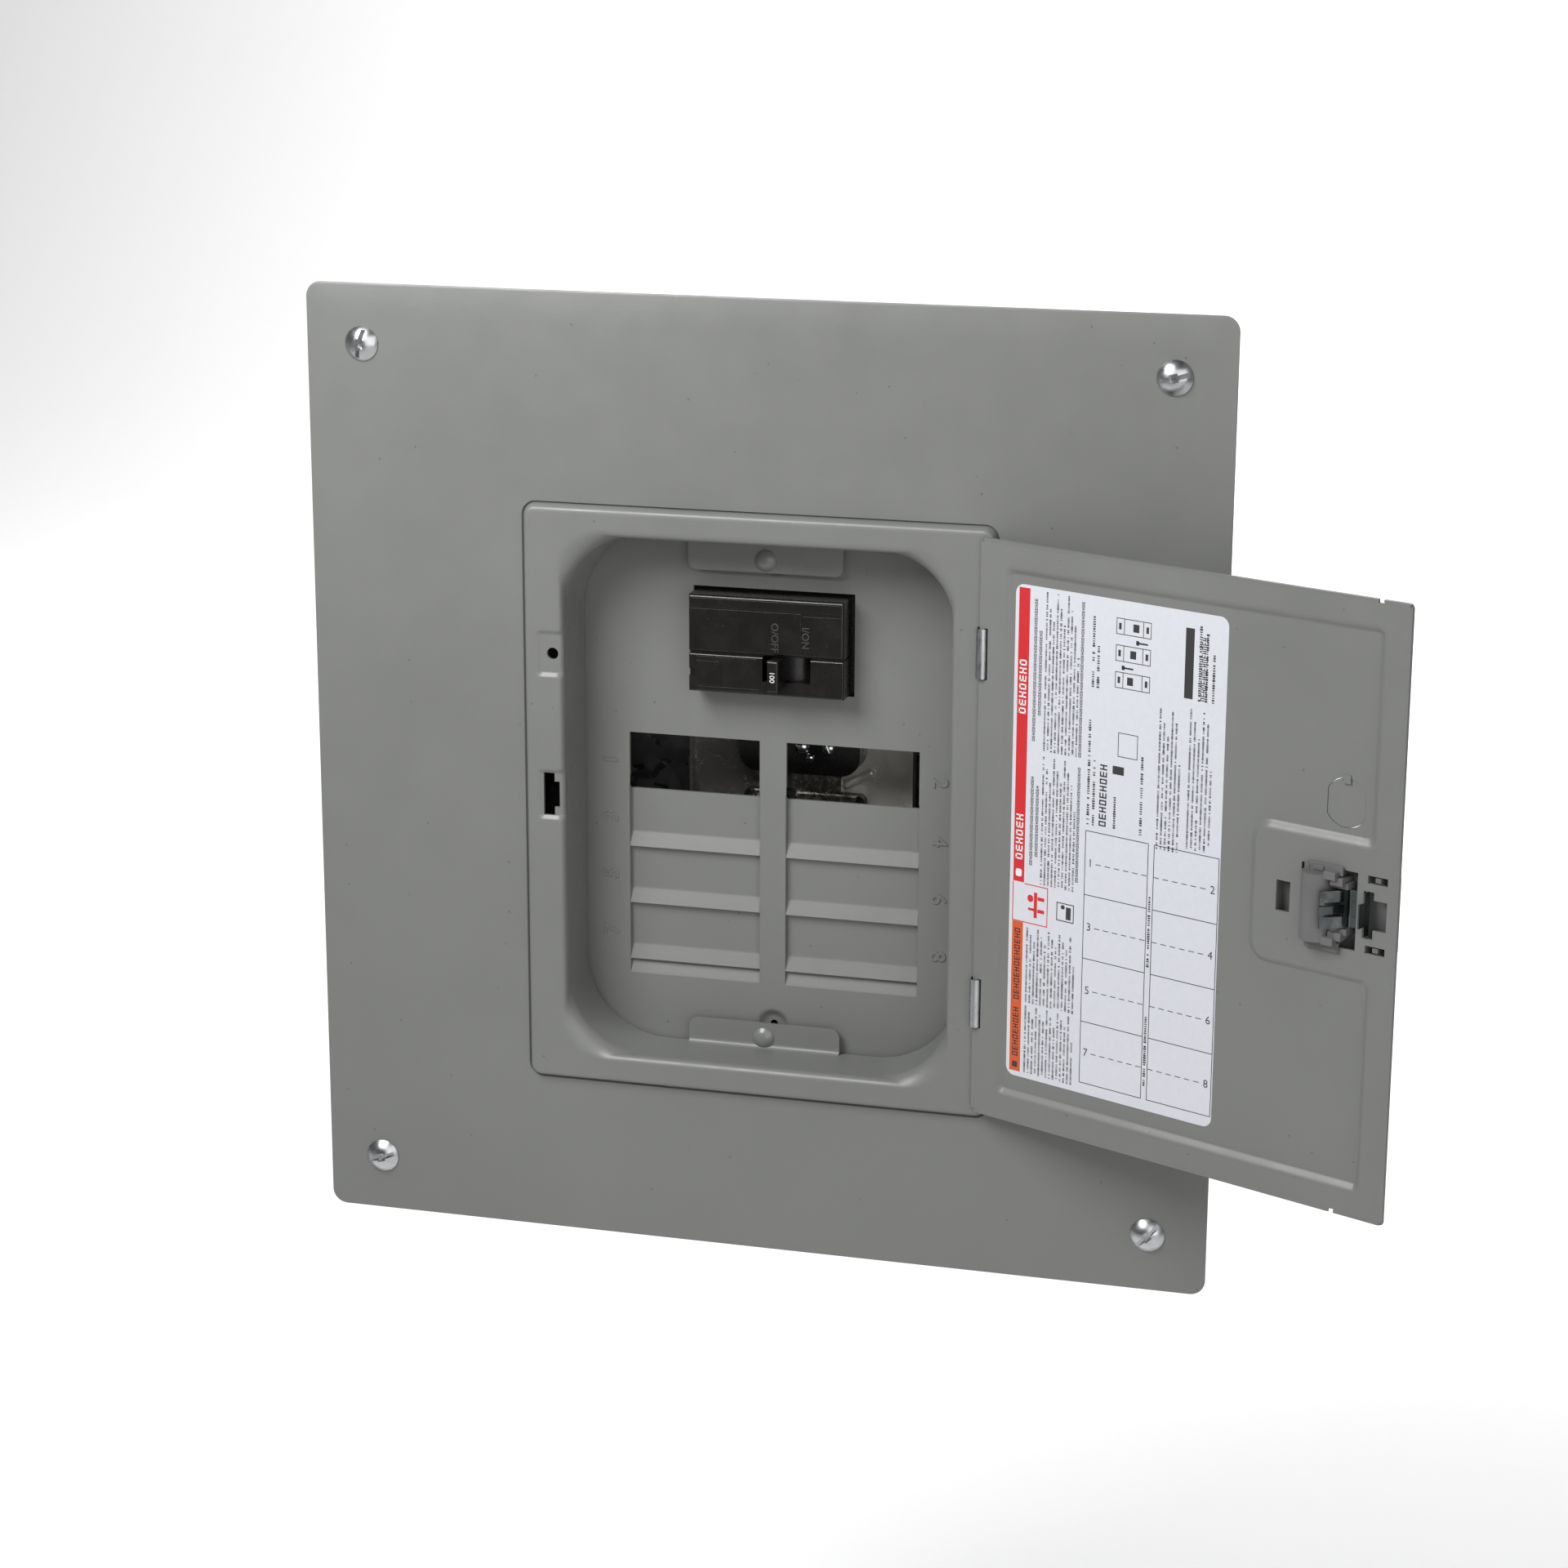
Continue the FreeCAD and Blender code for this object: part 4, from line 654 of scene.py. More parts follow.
def screw_tree():
    """Domed head with an optional slot and square socket, and a shank behind, one at each point."""
    net = Network("Screw Heads", {"Head Radius": "Float", "Crown": "Float", "Skirt": "Float",
                                  "Shank Radius": "Float", "Shank Length": "Float", "Slot Width": "Float",
                                  "Slot Depth": "Float", "Square": "Float", "Finish": "Material"})
    given = net.given
    radius, crown, skirt = given["Head Radius"], given["Crown"], given["Skirt"]
    half_skirt = net.math("MULTIPLY", skirt, 0.5)
    disc = net.moved(net.cylinder(radius, skirt, 64, 14), net.vector(z=half_skirt))
    where = net.add("ShaderNodeSeparateXYZ")
    net.join(net.add("GeometryNodeInputPosition").outputs[0], where.inputs[0])
    squares = [net.math("POWER", where.outputs[i], 2.0) for i in (0, 1)]
    reach = net.math("DIVIDE", net.math("ADD", *squares), net.math("POWER", radius, 2.0))
    rise = net.math("MULTIPLY", net.math("SUBTRACT", 1.0, net.math("POWER", reach, 1.15)), crown)
    lift = net.add("GeometryNodeSetPosition")
    net.join(disc, lift.inputs["Geometry"])
    net.join(net.math("GREATER_THAN", where.outputs[2], half_skirt), lift.inputs["Selection"])
    net.join(net.vector(z=rise), lift.inputs["Offset"])
    tall, square_below = 20.0, 0.7      # the cutters' height, and how far the square reaches below the slot
    floor = net.math("SUBTRACT", net.math("ADD", skirt, crown), given["Slot Depth"])
    slot_z = net.math("ADD", floor, tall / 2)
    slot = net.moved(net.block(net.vector(net.math("MULTIPLY", radius, 2.4), given["Slot Width"], tall)),
                     net.vector(z=slot_z))
    square = net.moved(net.block(net.vector(given["Square"], given["Square"], tall)),
                       net.vector(z=net.math("ADD", slot_z, -square_below)))
    cut = net.add("GeometryNodeMeshBoolean", operation="DIFFERENCE", solver="EXACT")
    net.join(lift.outputs[0], cut.inputs["Mesh 1"])
    net.join(slot, cut.inputs["Mesh 2"])
    net.join(square, cut.inputs["Mesh 2"])
    length = given["Shank Length"]
    shank = net.moved(net.cylinder(given["Shank Radius"], length, 20),
                      net.vector(z=net.math("MULTIPLY", length, -0.5)))
    whole = net.add("GeometryNodeJoinGeometry")
    net.join(cut.outputs[0], whole.inputs[0])
    net.join(shank, whole.inputs[0])
    turn = net.add("GeometryNodeInputNamedAttribute", data_type="FLOAT", Name="turn")
    facing = net.add("FunctionNodeEulerToRotation")
    net.join(net.vector(math.pi / 2, turn.outputs["Attribute"]), facing.inputs[0])
    spread_out = net.add("GeometryNodeInstanceOnPoints")
    net.join(given["Geometry"], spread_out.inputs["Points"])
    net.join(whole.outputs[0], spread_out.inputs["Instance"])
    net.join(facing.outputs[0], spread_out.inputs["Rotation"])
    net.end(spread_out.outputs[0])
    return net.tree


def print_tree():
    """Rows of letter-sized dashes along lines, with random sizes and gaps: unreadable small print."""
    net = Network("Small Print", {"Letter Pitch": "Float", "Letter Height": "Float", "Ink": "Float",
                                  "Share Printed": "Float", "Seed": "Int", "Finish": "Material"})
    given = net.given
    lines = net.add("GeometryNodeMeshToCurve")
    net.join(given["Geometry"], lines.inputs[0])
    dots = net.add("GeometryNodeResampleCurve", mode="LENGTH")
    net.join(lines.outputs[0], dots.inputs["Curve"])
    net.join(given["Letter Pitch"], dots.inputs[3])
    printed_here = net.add("FunctionNodeRandomValue", data_type="BOOLEAN")
    net.join(given["Share Printed"], printed_here.inputs[6])
    net.join(given["Seed"], printed_here.inputs["Seed"])
    size = net.add("FunctionNodeRandomValue", data_type="FLOAT_VECTOR")
    height, pitch, ink = given["Letter Height"], given["Letter Pitch"], given["Ink"]
    net.join(net.vector(net.math("MULTIPLY", height, 0.62), ink, net.math("MULTIPLY", pitch, 0.35)),
             size.inputs[0])
    net.join(net.vector(height, ink, net.math("MULTIPLY", pitch, 0.92)), size.inputs[1])
    net.join(given["Seed"], size.inputs["Seed"])
    stamp = net.add("GeometryNodeInstanceOnPoints")
    net.join(dots.outputs[0], stamp.inputs["Points"])
    net.join(printed_here.outputs[3], stamp.inputs["Selection"])
    net.join(net.block(net.vector(1.0, 1.0, 1.0)), stamp.inputs["Instance"])
    net.join(size.outputs[0], stamp.inputs["Scale"])
    net.end(stamp.outputs[0])
    return net.tree


# ---- cover ----
def pad_mask(x, z):
    """1 on the two pads sunk into the frame's free side, with soft edges, and 0 elsewhere."""
    inside = blend((x - PAD_X) / 2.4 + 0.5)
    return inside * max(blend((half - abs(z - middle)) / 2.4 + 0.5) for middle, half in PADS)


def side_stops():
    """Heights of the points down the free side, closest where the sunk pads' edges are."""
    bands = []
    for middle, half in PADS:
        bands += [(middle + s * half - 1.6, middle + s * half + 1.6, 0.4) for s in (-1, 1)]
    return stops(-80.0, 66.0, 4.0, bands=bands)[::-1]


def sunk(x, y, z):
    """Depth of the pressing with the pads and the groove round the frame's foot pressed into it."""
    if y >= 0:
        return y
    return y + PAD_SINK * (1 if y > FOOT_GROOVE else pad_mask(x, z))


def loop_of(centre, half, radius, y, side):
    """One rounded-rectangle loop of the pressing, anticlockwise from the front, sunk at the pads."""
    (cx, cz), (hx, hz) = centre, half
    corners = ((1, -1, -90), (1, 1, 0), (-1, 1, 90), (-1, -1, 180))
    outline = []
    for sx, sz, start in corners:
        for i in range(CORNER_STEPS + 1):
            angle = math.radians(start + 90 * i / CORNER_STEPS)
            outline.append((cx + sx * (hx - radius) + radius * math.cos(angle),
                            cz + sz * (hz - radius) + radius * math.sin(angle)))
        if (sx, sz) == (-1, 1):
            above, below = outline[-1][1], cz - hz + radius
            run = [mix(above, side[0], i / 4) for i in (1, 2, 3)]
            run += side + [mix(side[-1], below, i / 4) for i in (1, 2, 3)]
            outline += [(cx - hx, z) for z in run]
    return [(x, sunk(x, y, z), z) for x, z in outline]


def opening_radius(y):
    """Corner radius of the formed opening at a depth: tight at the mouth, wide at the throat."""
    if y < THROAT_DEPTH:
        share = (y + FRAME_STEP) / (THROAT_DEPTH + FRAME_STEP)
        return mix(MOUTH_R, THROAT_R, math.sin(math.pi / 2 * share))
    return mix(THROAT_R, REAR_R, (y - THROAT_DEPTH) / (FUNNEL_DEPTH - THROAT_DEPTH))


def grown(half, out):
    return half[0] + out, half[1] + out


def pressed_cover():
    """The whole pressing as loops from the outer edge in to the back of the opening."""
    drop = bpy.context.scene.load_center_sizes.rim_drop / MM
    side = side_stops()
    rim = ((0, 1), (0.12, 0.82), (0.4, 0.7), (1, 0.63), (3, 0.46), (6, 0.24), (9, 0.09), (12, 0.015), (14, 0))
    loops = []
    for inset, share in rim:
        loops.append(loop_of((0, 0), grown(COVER_HALF, -inset), 6.5 - 0.15 * inset, drop * share, side))
    step = ((2.2, 0), (1.6, -0.15), (1.1, -0.6), (0.7, -1.3), (0.4, -2.0), (-0.1, -2.6), (-0.9, -2.93),
            (-1.9, -3))
    outer_half, inner_half = grown(COVER_HALF, -rim[-1][0]), grown(FRAME_HALF, step[0][0])
    for i in range(1, 7):
        t = i / 7
        centre = (mix(0, FRAME_CENTRE[0], t), mix(0, FRAME_CENTRE[1], t))
        half = (mix(outer_half[0], inner_half[0], t), mix(outer_half[1], inner_half[1], t))
        loops.append(loop_of(centre, half, mix(4.4, FRAME_R + 2.2, t), 0, side))
    for out, y in step:
        loops.append(loop_of(FRAME_CENTRE, grown(FRAME_HALF, out), FRAME_R + out, y, side))
    flat_half, mouth_half = grown(FRAME_HALF, step[-1][0]), grown(OPEN_HALF, MOUTH_ROLL)
    for i in range(1, 14):
        t = i / 14
        centre = (mix(FRAME_CENTRE[0], OPEN_CENTRE[0], t), FRAME_CENTRE[1])
        half = (mix(flat_half[0], mouth_half[0], t), mix(flat_half[1], mouth_half[1], t))
        radius = mix(FRAME_R + step[-1][0], MOUTH_R + MOUTH_ROLL, t ** 1.5)
        loops.append(loop_of(centre, half, radius, -FRAME_STEP, side))
    for i in range(8):
        angle = math.pi / 2 * i / 7
        out = MOUTH_ROLL * (1 - math.sin(angle))
        y = -FRAME_STEP + MOUTH_ROLL * (1 - math.cos(angle))
        loops.append(loop_of(OPEN_CENTRE, grown(OPEN_HALF, out), opening_radius(y) + out, y, side))
    for y in (0.8, 1.6, 2.5, 3.4, 4.4, 6, 9, 13, 18, 22, FUNNEL_DEPTH):
        loops.append(loop_of(OPEN_CENTRE, OPEN_HALF, opening_radius(y), y, side))
    count = len(loops[0])
    verts = [point for loop in loops for point in loop]
    faces = []
    for ring in range(len(loops) - 1):
        for i in range(count):
            a, b = ring * count + i, ring * count + (i + 1) % count
            faces.append((a, b, b + count, a + count))
    return raw("cover_trim_sheet", verts, faces)


def cover_cuts():
    """Strike slot, lock hole, hinge slots and screw holes."""
    cuts = Drawing()
    slot_left, step_x, slot_right, tall, step_tall = -92.6, -87.7, -85.5, 9.3, 5.6
    half_tee = ((slot_left, tall), (step_x, tall), (step_x, step_tall), (slot_right, step_tall))
    tee = [(x, STRIKE_Z - z) for x, z in half_tee] + [(x, STRIKE_Z + z) for x, z in half_tee[::-1]]
    cuts.prism([(x, -5, z) for x, z in tee], (0, 10, 0))
    cuts.through(LOCK_X, LOCK_Z, (-5, 5), 2.5)
    for z in CLIP_Z:
        cuts.box((HINGE_X - 2.3, HINGE_X + 2.3), (-5, 2), (z - CLIP_HALF, z + CLIP_HALF))
    for sx, sz in SCREW_TURNS:
        cuts.through(sx * SCREW_X, sz * SCREW_Z, (-2, 5), 3.2)
    return cuts


def fixing_tab(free_z, wall_z, rivet):
    """A lip turned out of the opening's wall, with a soft bend and rounded free corners."""
    way = 1 if free_z > wall_z else -1
    bend, corner = 2.2, 3.5
    profile = [(wall_z - way * 0.3, TAB_DEPTH - 6.0), (wall_z - way * 0.1, TAB_DEPTH - bend)]
    for i in range(1, 7):
        angle = math.pi / 2 * i / 6
        profile.append((wall_z + way * bend * (1 - math.cos(angle)),
                        TAB_DEPTH - bend + bend * math.sin(angle)))
    length = abs(free_z - wall_z)
    profile += [(wall_z + way * (length - left), TAB_DEPTH) for left in (8, corner, 2.2, 1.2, 0.5, 0.12, 0)]
    verts = []
    across = 12
    for z, y in profile:
        left = min(abs(free_z - z), corner)
        inset = corner - math.sqrt(max(corner ** 2 - (corner - left) ** 2, 0))
        verts += [(mix(TAB_X[0] + inset, TAB_X[1] - inset, i / across), y, z) for i in range(across + 1)]
    faces = grid_faces(across + 1, len(profile))
    tab = raw("tab", verts, faces if way > 0 else [face[::-1] for face in faces])
    thicken(tab, SHEET)
    carve(tab, Drawing().through(*rivet, (TAB_DEPTH - 3, TAB_DEPTH + 4), RIVET_HOLE))
    return tab


def joined(name, first, *others):
    """Put the other meshes into the first, name it, and remove the others' objects."""
    bm = bmesh.new()
    for obj in (first, *others):
        bm.from_mesh(obj.data)
    bm.to_mesh(first.data)
    bm.free()
    for obj in others:
        bpy.data.objects.remove(obj)
    first.name = name
    return first


def build_cover():
    cover = pressed_cover()
    thicken(cover, SHEET)
    carve(cover, cover_cuts())
    top, low = OPEN_CENTRE[1] + OPEN_HALF[1], OPEN_CENTRE[1] - OPEN_HALF[1]
    tabs = [fixing_tab(free, wall, rivet) for free, wall, rivet in zip(TAB_EDGES, (top, low), RIVETS)]
    cover = joined("pressed_cover", cover, *tabs)
    finish_piece(cover, "grey_enamel", "root", "painted_steel", ["cover_trim"])


# ---- dead front ----
def column_depth(z):
    """Depth of a blanked column: each space is sunk and ramps out towards its lower edge."""
    for row in range(1, ROWS):
        top, low = ROW_TOP - row * PITCH, ROW_TOP - (row + 1) * PITCH
        if low <= z <= top + 0.2:
            rise = PANEL_SINK * min((z - low) / RAMP, 1.0)
            return rise if row == 1 else rise * blend((top - z) / SPACE_LIP)
    below = ROW_TOP - ROWS * PITCH - z
    if not 0.0 < below <= RAMP:
        return 0.0
    if below > SPACE_LIP:
        return PANEL_SINK * (1 - (below - SPACE_LIP) / (RAMP - SPACE_LIP))
    return PANEL_SINK * below / SPACE_LIP


def dish_depth(x, z):
    """Two round dishes that the fixing screws would sit in."""
    deepest = max((7.5 - math.hypot(x - cx, z - cz)) / 4.0 for cx, cz in DIMPLES)
    return 2.0 * blend(deepest)


def build_dead_front():
    edges = [x for pair in COLUMNS for x in pair]
    row_marks = []
    for row in range(1, ROWS + 1):
        low = ROW_TOP - row * PITCH
        row_marks += [(low - SPACE_LIP, low, 0.2), (low + RAMP - 0.6, low + RAMP + 0.6, 0.6)]
    last = ROW_TOP - ROWS * PITCH
    dish = [(cz - 8, cz + 8, 0.8) for cx, cz in DIMPLES]
    xs = stops(DEAD_LOW.x, DEAD_HIGH.x, 6.0, marks=edges + list(MAIN_HOLE[:2]), bands=[(-8, 9, 0.85)])
    for edge in edges:
        xs = sorted(set(xs) | {edge - 0.1, edge + 0.1})
    zs = stops(DEAD_LOW.z, DEAD_HIGH.z, 6.0, marks=[ROW_TOP, *MAIN_HOLE[2:], last - RAMP],
               bands=row_marks + dish)
    windows = [(x0, x1, ROW_TOP - PITCH, ROW_TOP) for x0, x1 in COLUMNS] + [MAIN_HOLE]

    def depth(x, z):
        in_column = any(x0 <= x <= x1 for x0, x1 in COLUMNS)
        sunk = column_depth(z) if in_column else 0.0
        return DEAD_DEPTH + max(sunk, dish_depth(x, z))

    def keep(x, z):
        return not any(x0 < x < x1 and z0 < z < z1 for x0, x1, z0, z1 in windows)

    plate = height_sheet("dead_front_sheet", xs, zs, depth, keep)
    thicken(plate, SHEET)
    holes = Drawing()
    for (x, z), radius in ((RIVETS[0], RIVET_HOLE), (RIVETS[1], RIVET_HOLE), (DIMPLES[1], 1.7)):
        holes.through(x, z, (DEAD_DEPTH - 3, DEAD_DEPTH + 6), radius)
    carve(plate, holes)
    flanges = Drawing()
    for side in (-1, 1):
        x = sorted((side * (DEAD_HIGH.x - SHEET), side * DEAD_HIGH.x))
        flanges.box(x, (DEAD_DEPTH + 0.2, DEAD_DEPTH + 9), (DEAD_LOW.z + 8, DEAD_HIGH.z - 8), bevel=0.4)
    digits = []
    size = bpy.context.scene.load_center_sizes
    first_z, left_x, right_x = 1.1, -72.0, 72.6
    for i in range(ROWS):
        for number, x, turn in ((2 * i + 1, left_x, -90), (2 * i + 2, right_x, 90)):
            place = Matrix.Translation((x, DEAD_DEPTH + 0.1, first_z - PITCH * i))
            place = place @ Matrix.Rotation(math.radians(turn), 4, "Y")
            digits.append(characters(str(number), size.digit_height / MM, size.digit_relief / MM, place,
                                     bevel=0.22))
    plate = joined("pressed_dead_front", plate, flanges.object("flanges"), *digits)
    finish_piece(plate, "grey_enamel", "root", "painted_steel", ["dead_front"])


def characters(text, height, relief, place, bevel=0.0):
    """Generic digits or letters, raised towards -Y before they are placed."""
    curve = bpy.data.curves.new("characters", "FONT")
    curve.body = text
    curve.align_x = "CENTER"
    curve.align_y = "CENTER"
    curve.extrude = relief / 2
    curve.bevel_depth = bevel / 2
    curve.bevel_resolution = 1
    curve.size = height / 0.70
    curve.resolution_u = 4
    obj = bpy.data.objects.new("characters", curve)
    bpy.context.scene.collection.objects.link(obj)
    graph = bpy.context.evaluated_depsgraph_get()
    mesh = bpy.data.meshes.new_from_object(obj.evaluated_get(graph))
    bpy.data.objects.remove(obj)
    upright = Matrix.Translation((0, -relief / 2, 0)) @ Matrix.Rotation(math.pi / 2, 4, "X")
    mesh.transform(place @ upright)
    return link("characters", mesh)


# ---- door ----
def rounded_gap(x, z, box, radius):
    """Distance from a rounded rectangle's edge, above 0 outside it."""
    x0, x1, z0, z1 = box
    dx = abs(x - (x0 + x1) / 2) - (x1 - x0) / 2 + radius
    dz = abs(z - (z0 + z1) / 2) - (z1 - z0) / 2 + radius
    return math.hypot(max(dx, 0), max(dz, 0)) + min(max(dx, dz), 0) - radius


def panel_mask(u, z):
    """1 on the door's pressed panel and 0 on its rim and round the latch."""
    inside = -rounded_gap(u, z, PANEL, 5.0)
    clear = rounded_gap(u, z, LATCH_PAD, 5.0)
    near = max(4.0 - abs(inside - clear), 0.0)
    return blend((min(inside, clear) - near * near / 16.0) / PRESS_RAMP)


def door_cuts():
    """Openings in the door, drawn shut."""
    def block(u, z):
        return (HINGE_X - u[1], HINGE_X - u[0]), (-14, 0), z

    cuts = Drawing()
    for z in CLIP_Z:
        cuts.box(*block((1.4, 3.2), (z - CLIP_HALF, z + CLIP_HALF)))
    cuts.box(*block((154.2, 179.0), (-23.6, 7.3)))
    cuts.box(*block((143.3, 149.5), (LATCH_Z - 6.1, LATCH_Z + 6.1)))
    tee = ((181.8, -9.6), (186.3, -9.6), (186.3, -5.9), (192.0, -5.9),
           (192.0, 5.9), (186.3, 5.9), (186.3, 9.0), (181.8, 9.0))
    cuts.prism([(HINGE_X - u, -14, LATCH_Z + z) for u, z in tee], (0, 14, 0))
    for z in ((4.1, 7.2), (-23.5, -20.4)):
        cuts.box(*block((183.3, 191.9), z))
    slug, slug_r, slug_flat = [], 9.8, 8.4
    for i in range(48):
        angle = 2 * math.pi * i / 48
        u = SLUG[0] + max(-slug_flat, min(slug_flat, slug_r * math.cos(angle)))
        slug.append((HINGE_X - u, -14, SLUG[1] + slug_r * math.sin(angle)))
    cuts.prism(slug, (0, 14, 0))
    cuts.box(*block((182.2, 184.6), (DOOR_BOX[3] - 1.6, DOOR_BOX[3] + 2)))
    cuts.box(*block((172.6, 175.0), (DOOR_BOX[2] - 2, DOOR_BOX[2] + 1.6)))
    return cuts


def build_door():
    u0, u1, z0, z1 = DOOR_BOX
    ramp = PRESS_RAMP + 0.5
    fine = 0.5
    u_bands = [(u0, u0 + 2, fine), (u1 - 2, u1, fine), (PANEL[0] - fine, PANEL[0] + ramp, fine),
               (PANEL[1] - ramp, PANEL[1] + fine, fine), (LATCH_PAD[0] - ramp, LATCH_PAD[0] + 6, fine)]
    z_bands = [(z0, z0 + 2, fine), (z1 - 2, z1, fine), (PANEL[2] - fine, PANEL[2] + ramp, fine),
               (PANEL[3] - ramp, PANEL[3] + fine, fine), (LATCH_PAD[2] - ramp, LATCH_PAD[2] + 5, fine),
               (LATCH_PAD[3] - 5, LATCH_PAD[3] + ramp, fine)]
    us = stops(u0, u1, 9.0, bands=u_bands)
    zs = stops(z0, z1, 9.0, bands=z_bands)
    xs = [HINGE_X - u for u in us[::-1]]

    def depth(x, z):
        u = HINGE_X - x
        roll = 0.35 * blend(1 - min(u1 - u, z - z0, z1 - z) / 1.6)
        return DOOR_INNER - DOOR_SHEET - PRESS * panel_mask(u, z) + roll

    sheet = height_sheet("door_sheet", xs, zs, depth)
    radius, inner_limit = 2.0, DOOR_INNER + 0.36
    for vert in sheet.data.vertices:
        u, z = HINGE_X - vert.co.x, vert.co.z
        cu = min(max(u, u0 + radius), u1 - radius)
        cz = min(max(z, z0 + radius), z1 - radius)
        reach = math.hypot(u - cu, z - cz)
        if u != cu and z != cz and reach > radius:
            vert.co.x = HINGE_X - (cu + (u - cu) * radius / reach)
            vert.co.z = cz + (z - cz) * radius / reach
    thicken(sheet, DOOR_SHEET)
    for vert in sheet.data.vertices:
        vert.co.y = min(vert.co.y, inner_limit)
    carve(sheet, door_cuts())
    sheet.name = "pressed_door"
    finish_piece(sheet, "grey_enamel", "door", "painted_steel", ["door_panel"], swung=True, angle=38)
    dress("lock_knockout", "grey_enamel")


# ---- label ----
def inked(name, finish, shapes):
    """Flat shapes of ink on the label: (u0, u1, z0, z1), with a corner radius and a layer if wanted."""
    ink = bpy.context.scene.load_center_sizes.ink / MM
    art = Drawing()
    for u0, u1, z0, z1, *more in shapes:
        radius = more[0] if more else 0.0
        over = ink * (more[1] if len(more) > 1 else 1)
        outline = ((u0, z0), (u1, z0), (u1, z1), (u0, z1))
        if radius:
            outline = rounded_outline((u0, u1), (z0, z1), radius, 4)
        art.prism([(HINGE_X - u, LABEL_FACE - INK_ROOT, z) for u, z in outline], (0, over + INK_ROOT, 0))
    piece = art.object(name)
    outward(piece)
    return finish_piece(piece, finish, "door", "label_vinyl", swung=True)


def glyphs(u0, u1, z0, z1, pitch):
    """Bold made-up characters that mean nothing, read upwards: frames, combs and ladders in turn."""
    shapes = []
    wide, thick = pitch * 0.74, pitch * 0.2
    count = int((z1 - z0) / pitch)
    for i in range(count):
        a = z0 + i * pitch
        b = a + wide
        middle = (u0 + u1) / 2
        shapes.append((u0, u1, a, a + thick))
        if i % 3 != 1:
            shapes.append((u0, u1, b - thick, b))
        if i % 3 != 2:
            shapes += [(u0, u0 + thick, a, b), (u1 - thick, u1, a, b)]
        if i % 3:
            shapes.append((middle - thick / 2, middle + thick / 2, a, b))
    return [(*shape, 0.0, 2) for shape in shapes]


def table_rules():
    """Rules of the circuit directory: outer box, row lines, double centre line and dashes."""
    thin, margin, dash_long, dash_pitch = 0.16, 5.2, 2.6, 4.4
    rules = []

    def level(z, u0, u1):
        rules.append((u0, u1, z - thin, z + thin))

    u0, u1, z0, z1 = TABLE
    middle = TABLE_MIDDLE
    for u in (u0, u1, *middle):
        rules.append((u - thin, u + thin, z0, z1))
    for z in (z0, z1, *TABLE_ROWS):
        level(z, u0, middle[0])
        level(z, middle[1], u1)
    for z in TABLE_DASHES:
        for start, end in ((u0 + margin, middle[0]), (middle[1], u1 - margin)):
            dash = start
            while dash < end - 1:
                level(z, dash, min(dash + dash_long, end))
                dash += dash_pitch
    return rules


def breaker_sketches():
    """Three small line drawings of a toggle breaker, standing, tripped and reset."""
    lines = []
    for u0, z0, tip in ((64.5, 61.2, 0.25), (64.5, 72.0, 0.5), (64.5, 82.8, 0.75)):
        u1, z1 = u0 + 16.5, z0 + 6.6
        lines += [(u0, u1, z0, z0 + 0.3), (u0, u1, z1 - 0.3, z1)]
        lines += [(u0, u0 + 0.3, z0, z1), (u1 - 0.3, u1, z0, z1)]
        lines += [(u0 + 3.6, u0 + 3.9, z0, z1), (u1 - 3.9, u1 - 3.6, z0, z1)]
        knob = mix(u0 + 4.6, u1 - 7.4, tip)
        lines += [(knob, knob + 2.8, z0 + 1.7, z1 - 1.7), (u0 + 1.2, u0 + 2.4, z0 + 2, z1 - 2)]
        lines += [(u1 - 2.4, u1 - 1.2, z0 + 2, z1 - 2)]
    for z, low, high in ((69.6, 67.5, 73.0), (80.4, 74.0, 79.5)):
        lines += [(low, high, z - 0.35, z + 0.35), (low, low + 1.4, z - 0.9, z + 0.9)]
    return lines


def print_rows(block):
    """Ends of the rows of small print in a block (u0, u1, z0, z1, pitch), ragged at the far end."""
    u0, u1, z0, z1, pitch = block
    points = []
    count = int((u1 - u0) / pitch) + 1
    for i in range(count):
        short = 0.62 if i == count - 1 else 1.0 - 0.09 * ((i * 7) % 3)
        points += [(HINGE_X - u0 - i * pitch, LABEL_FACE + 0.01, z) for z in (z0, mix(z0, z1, short))]
    return points


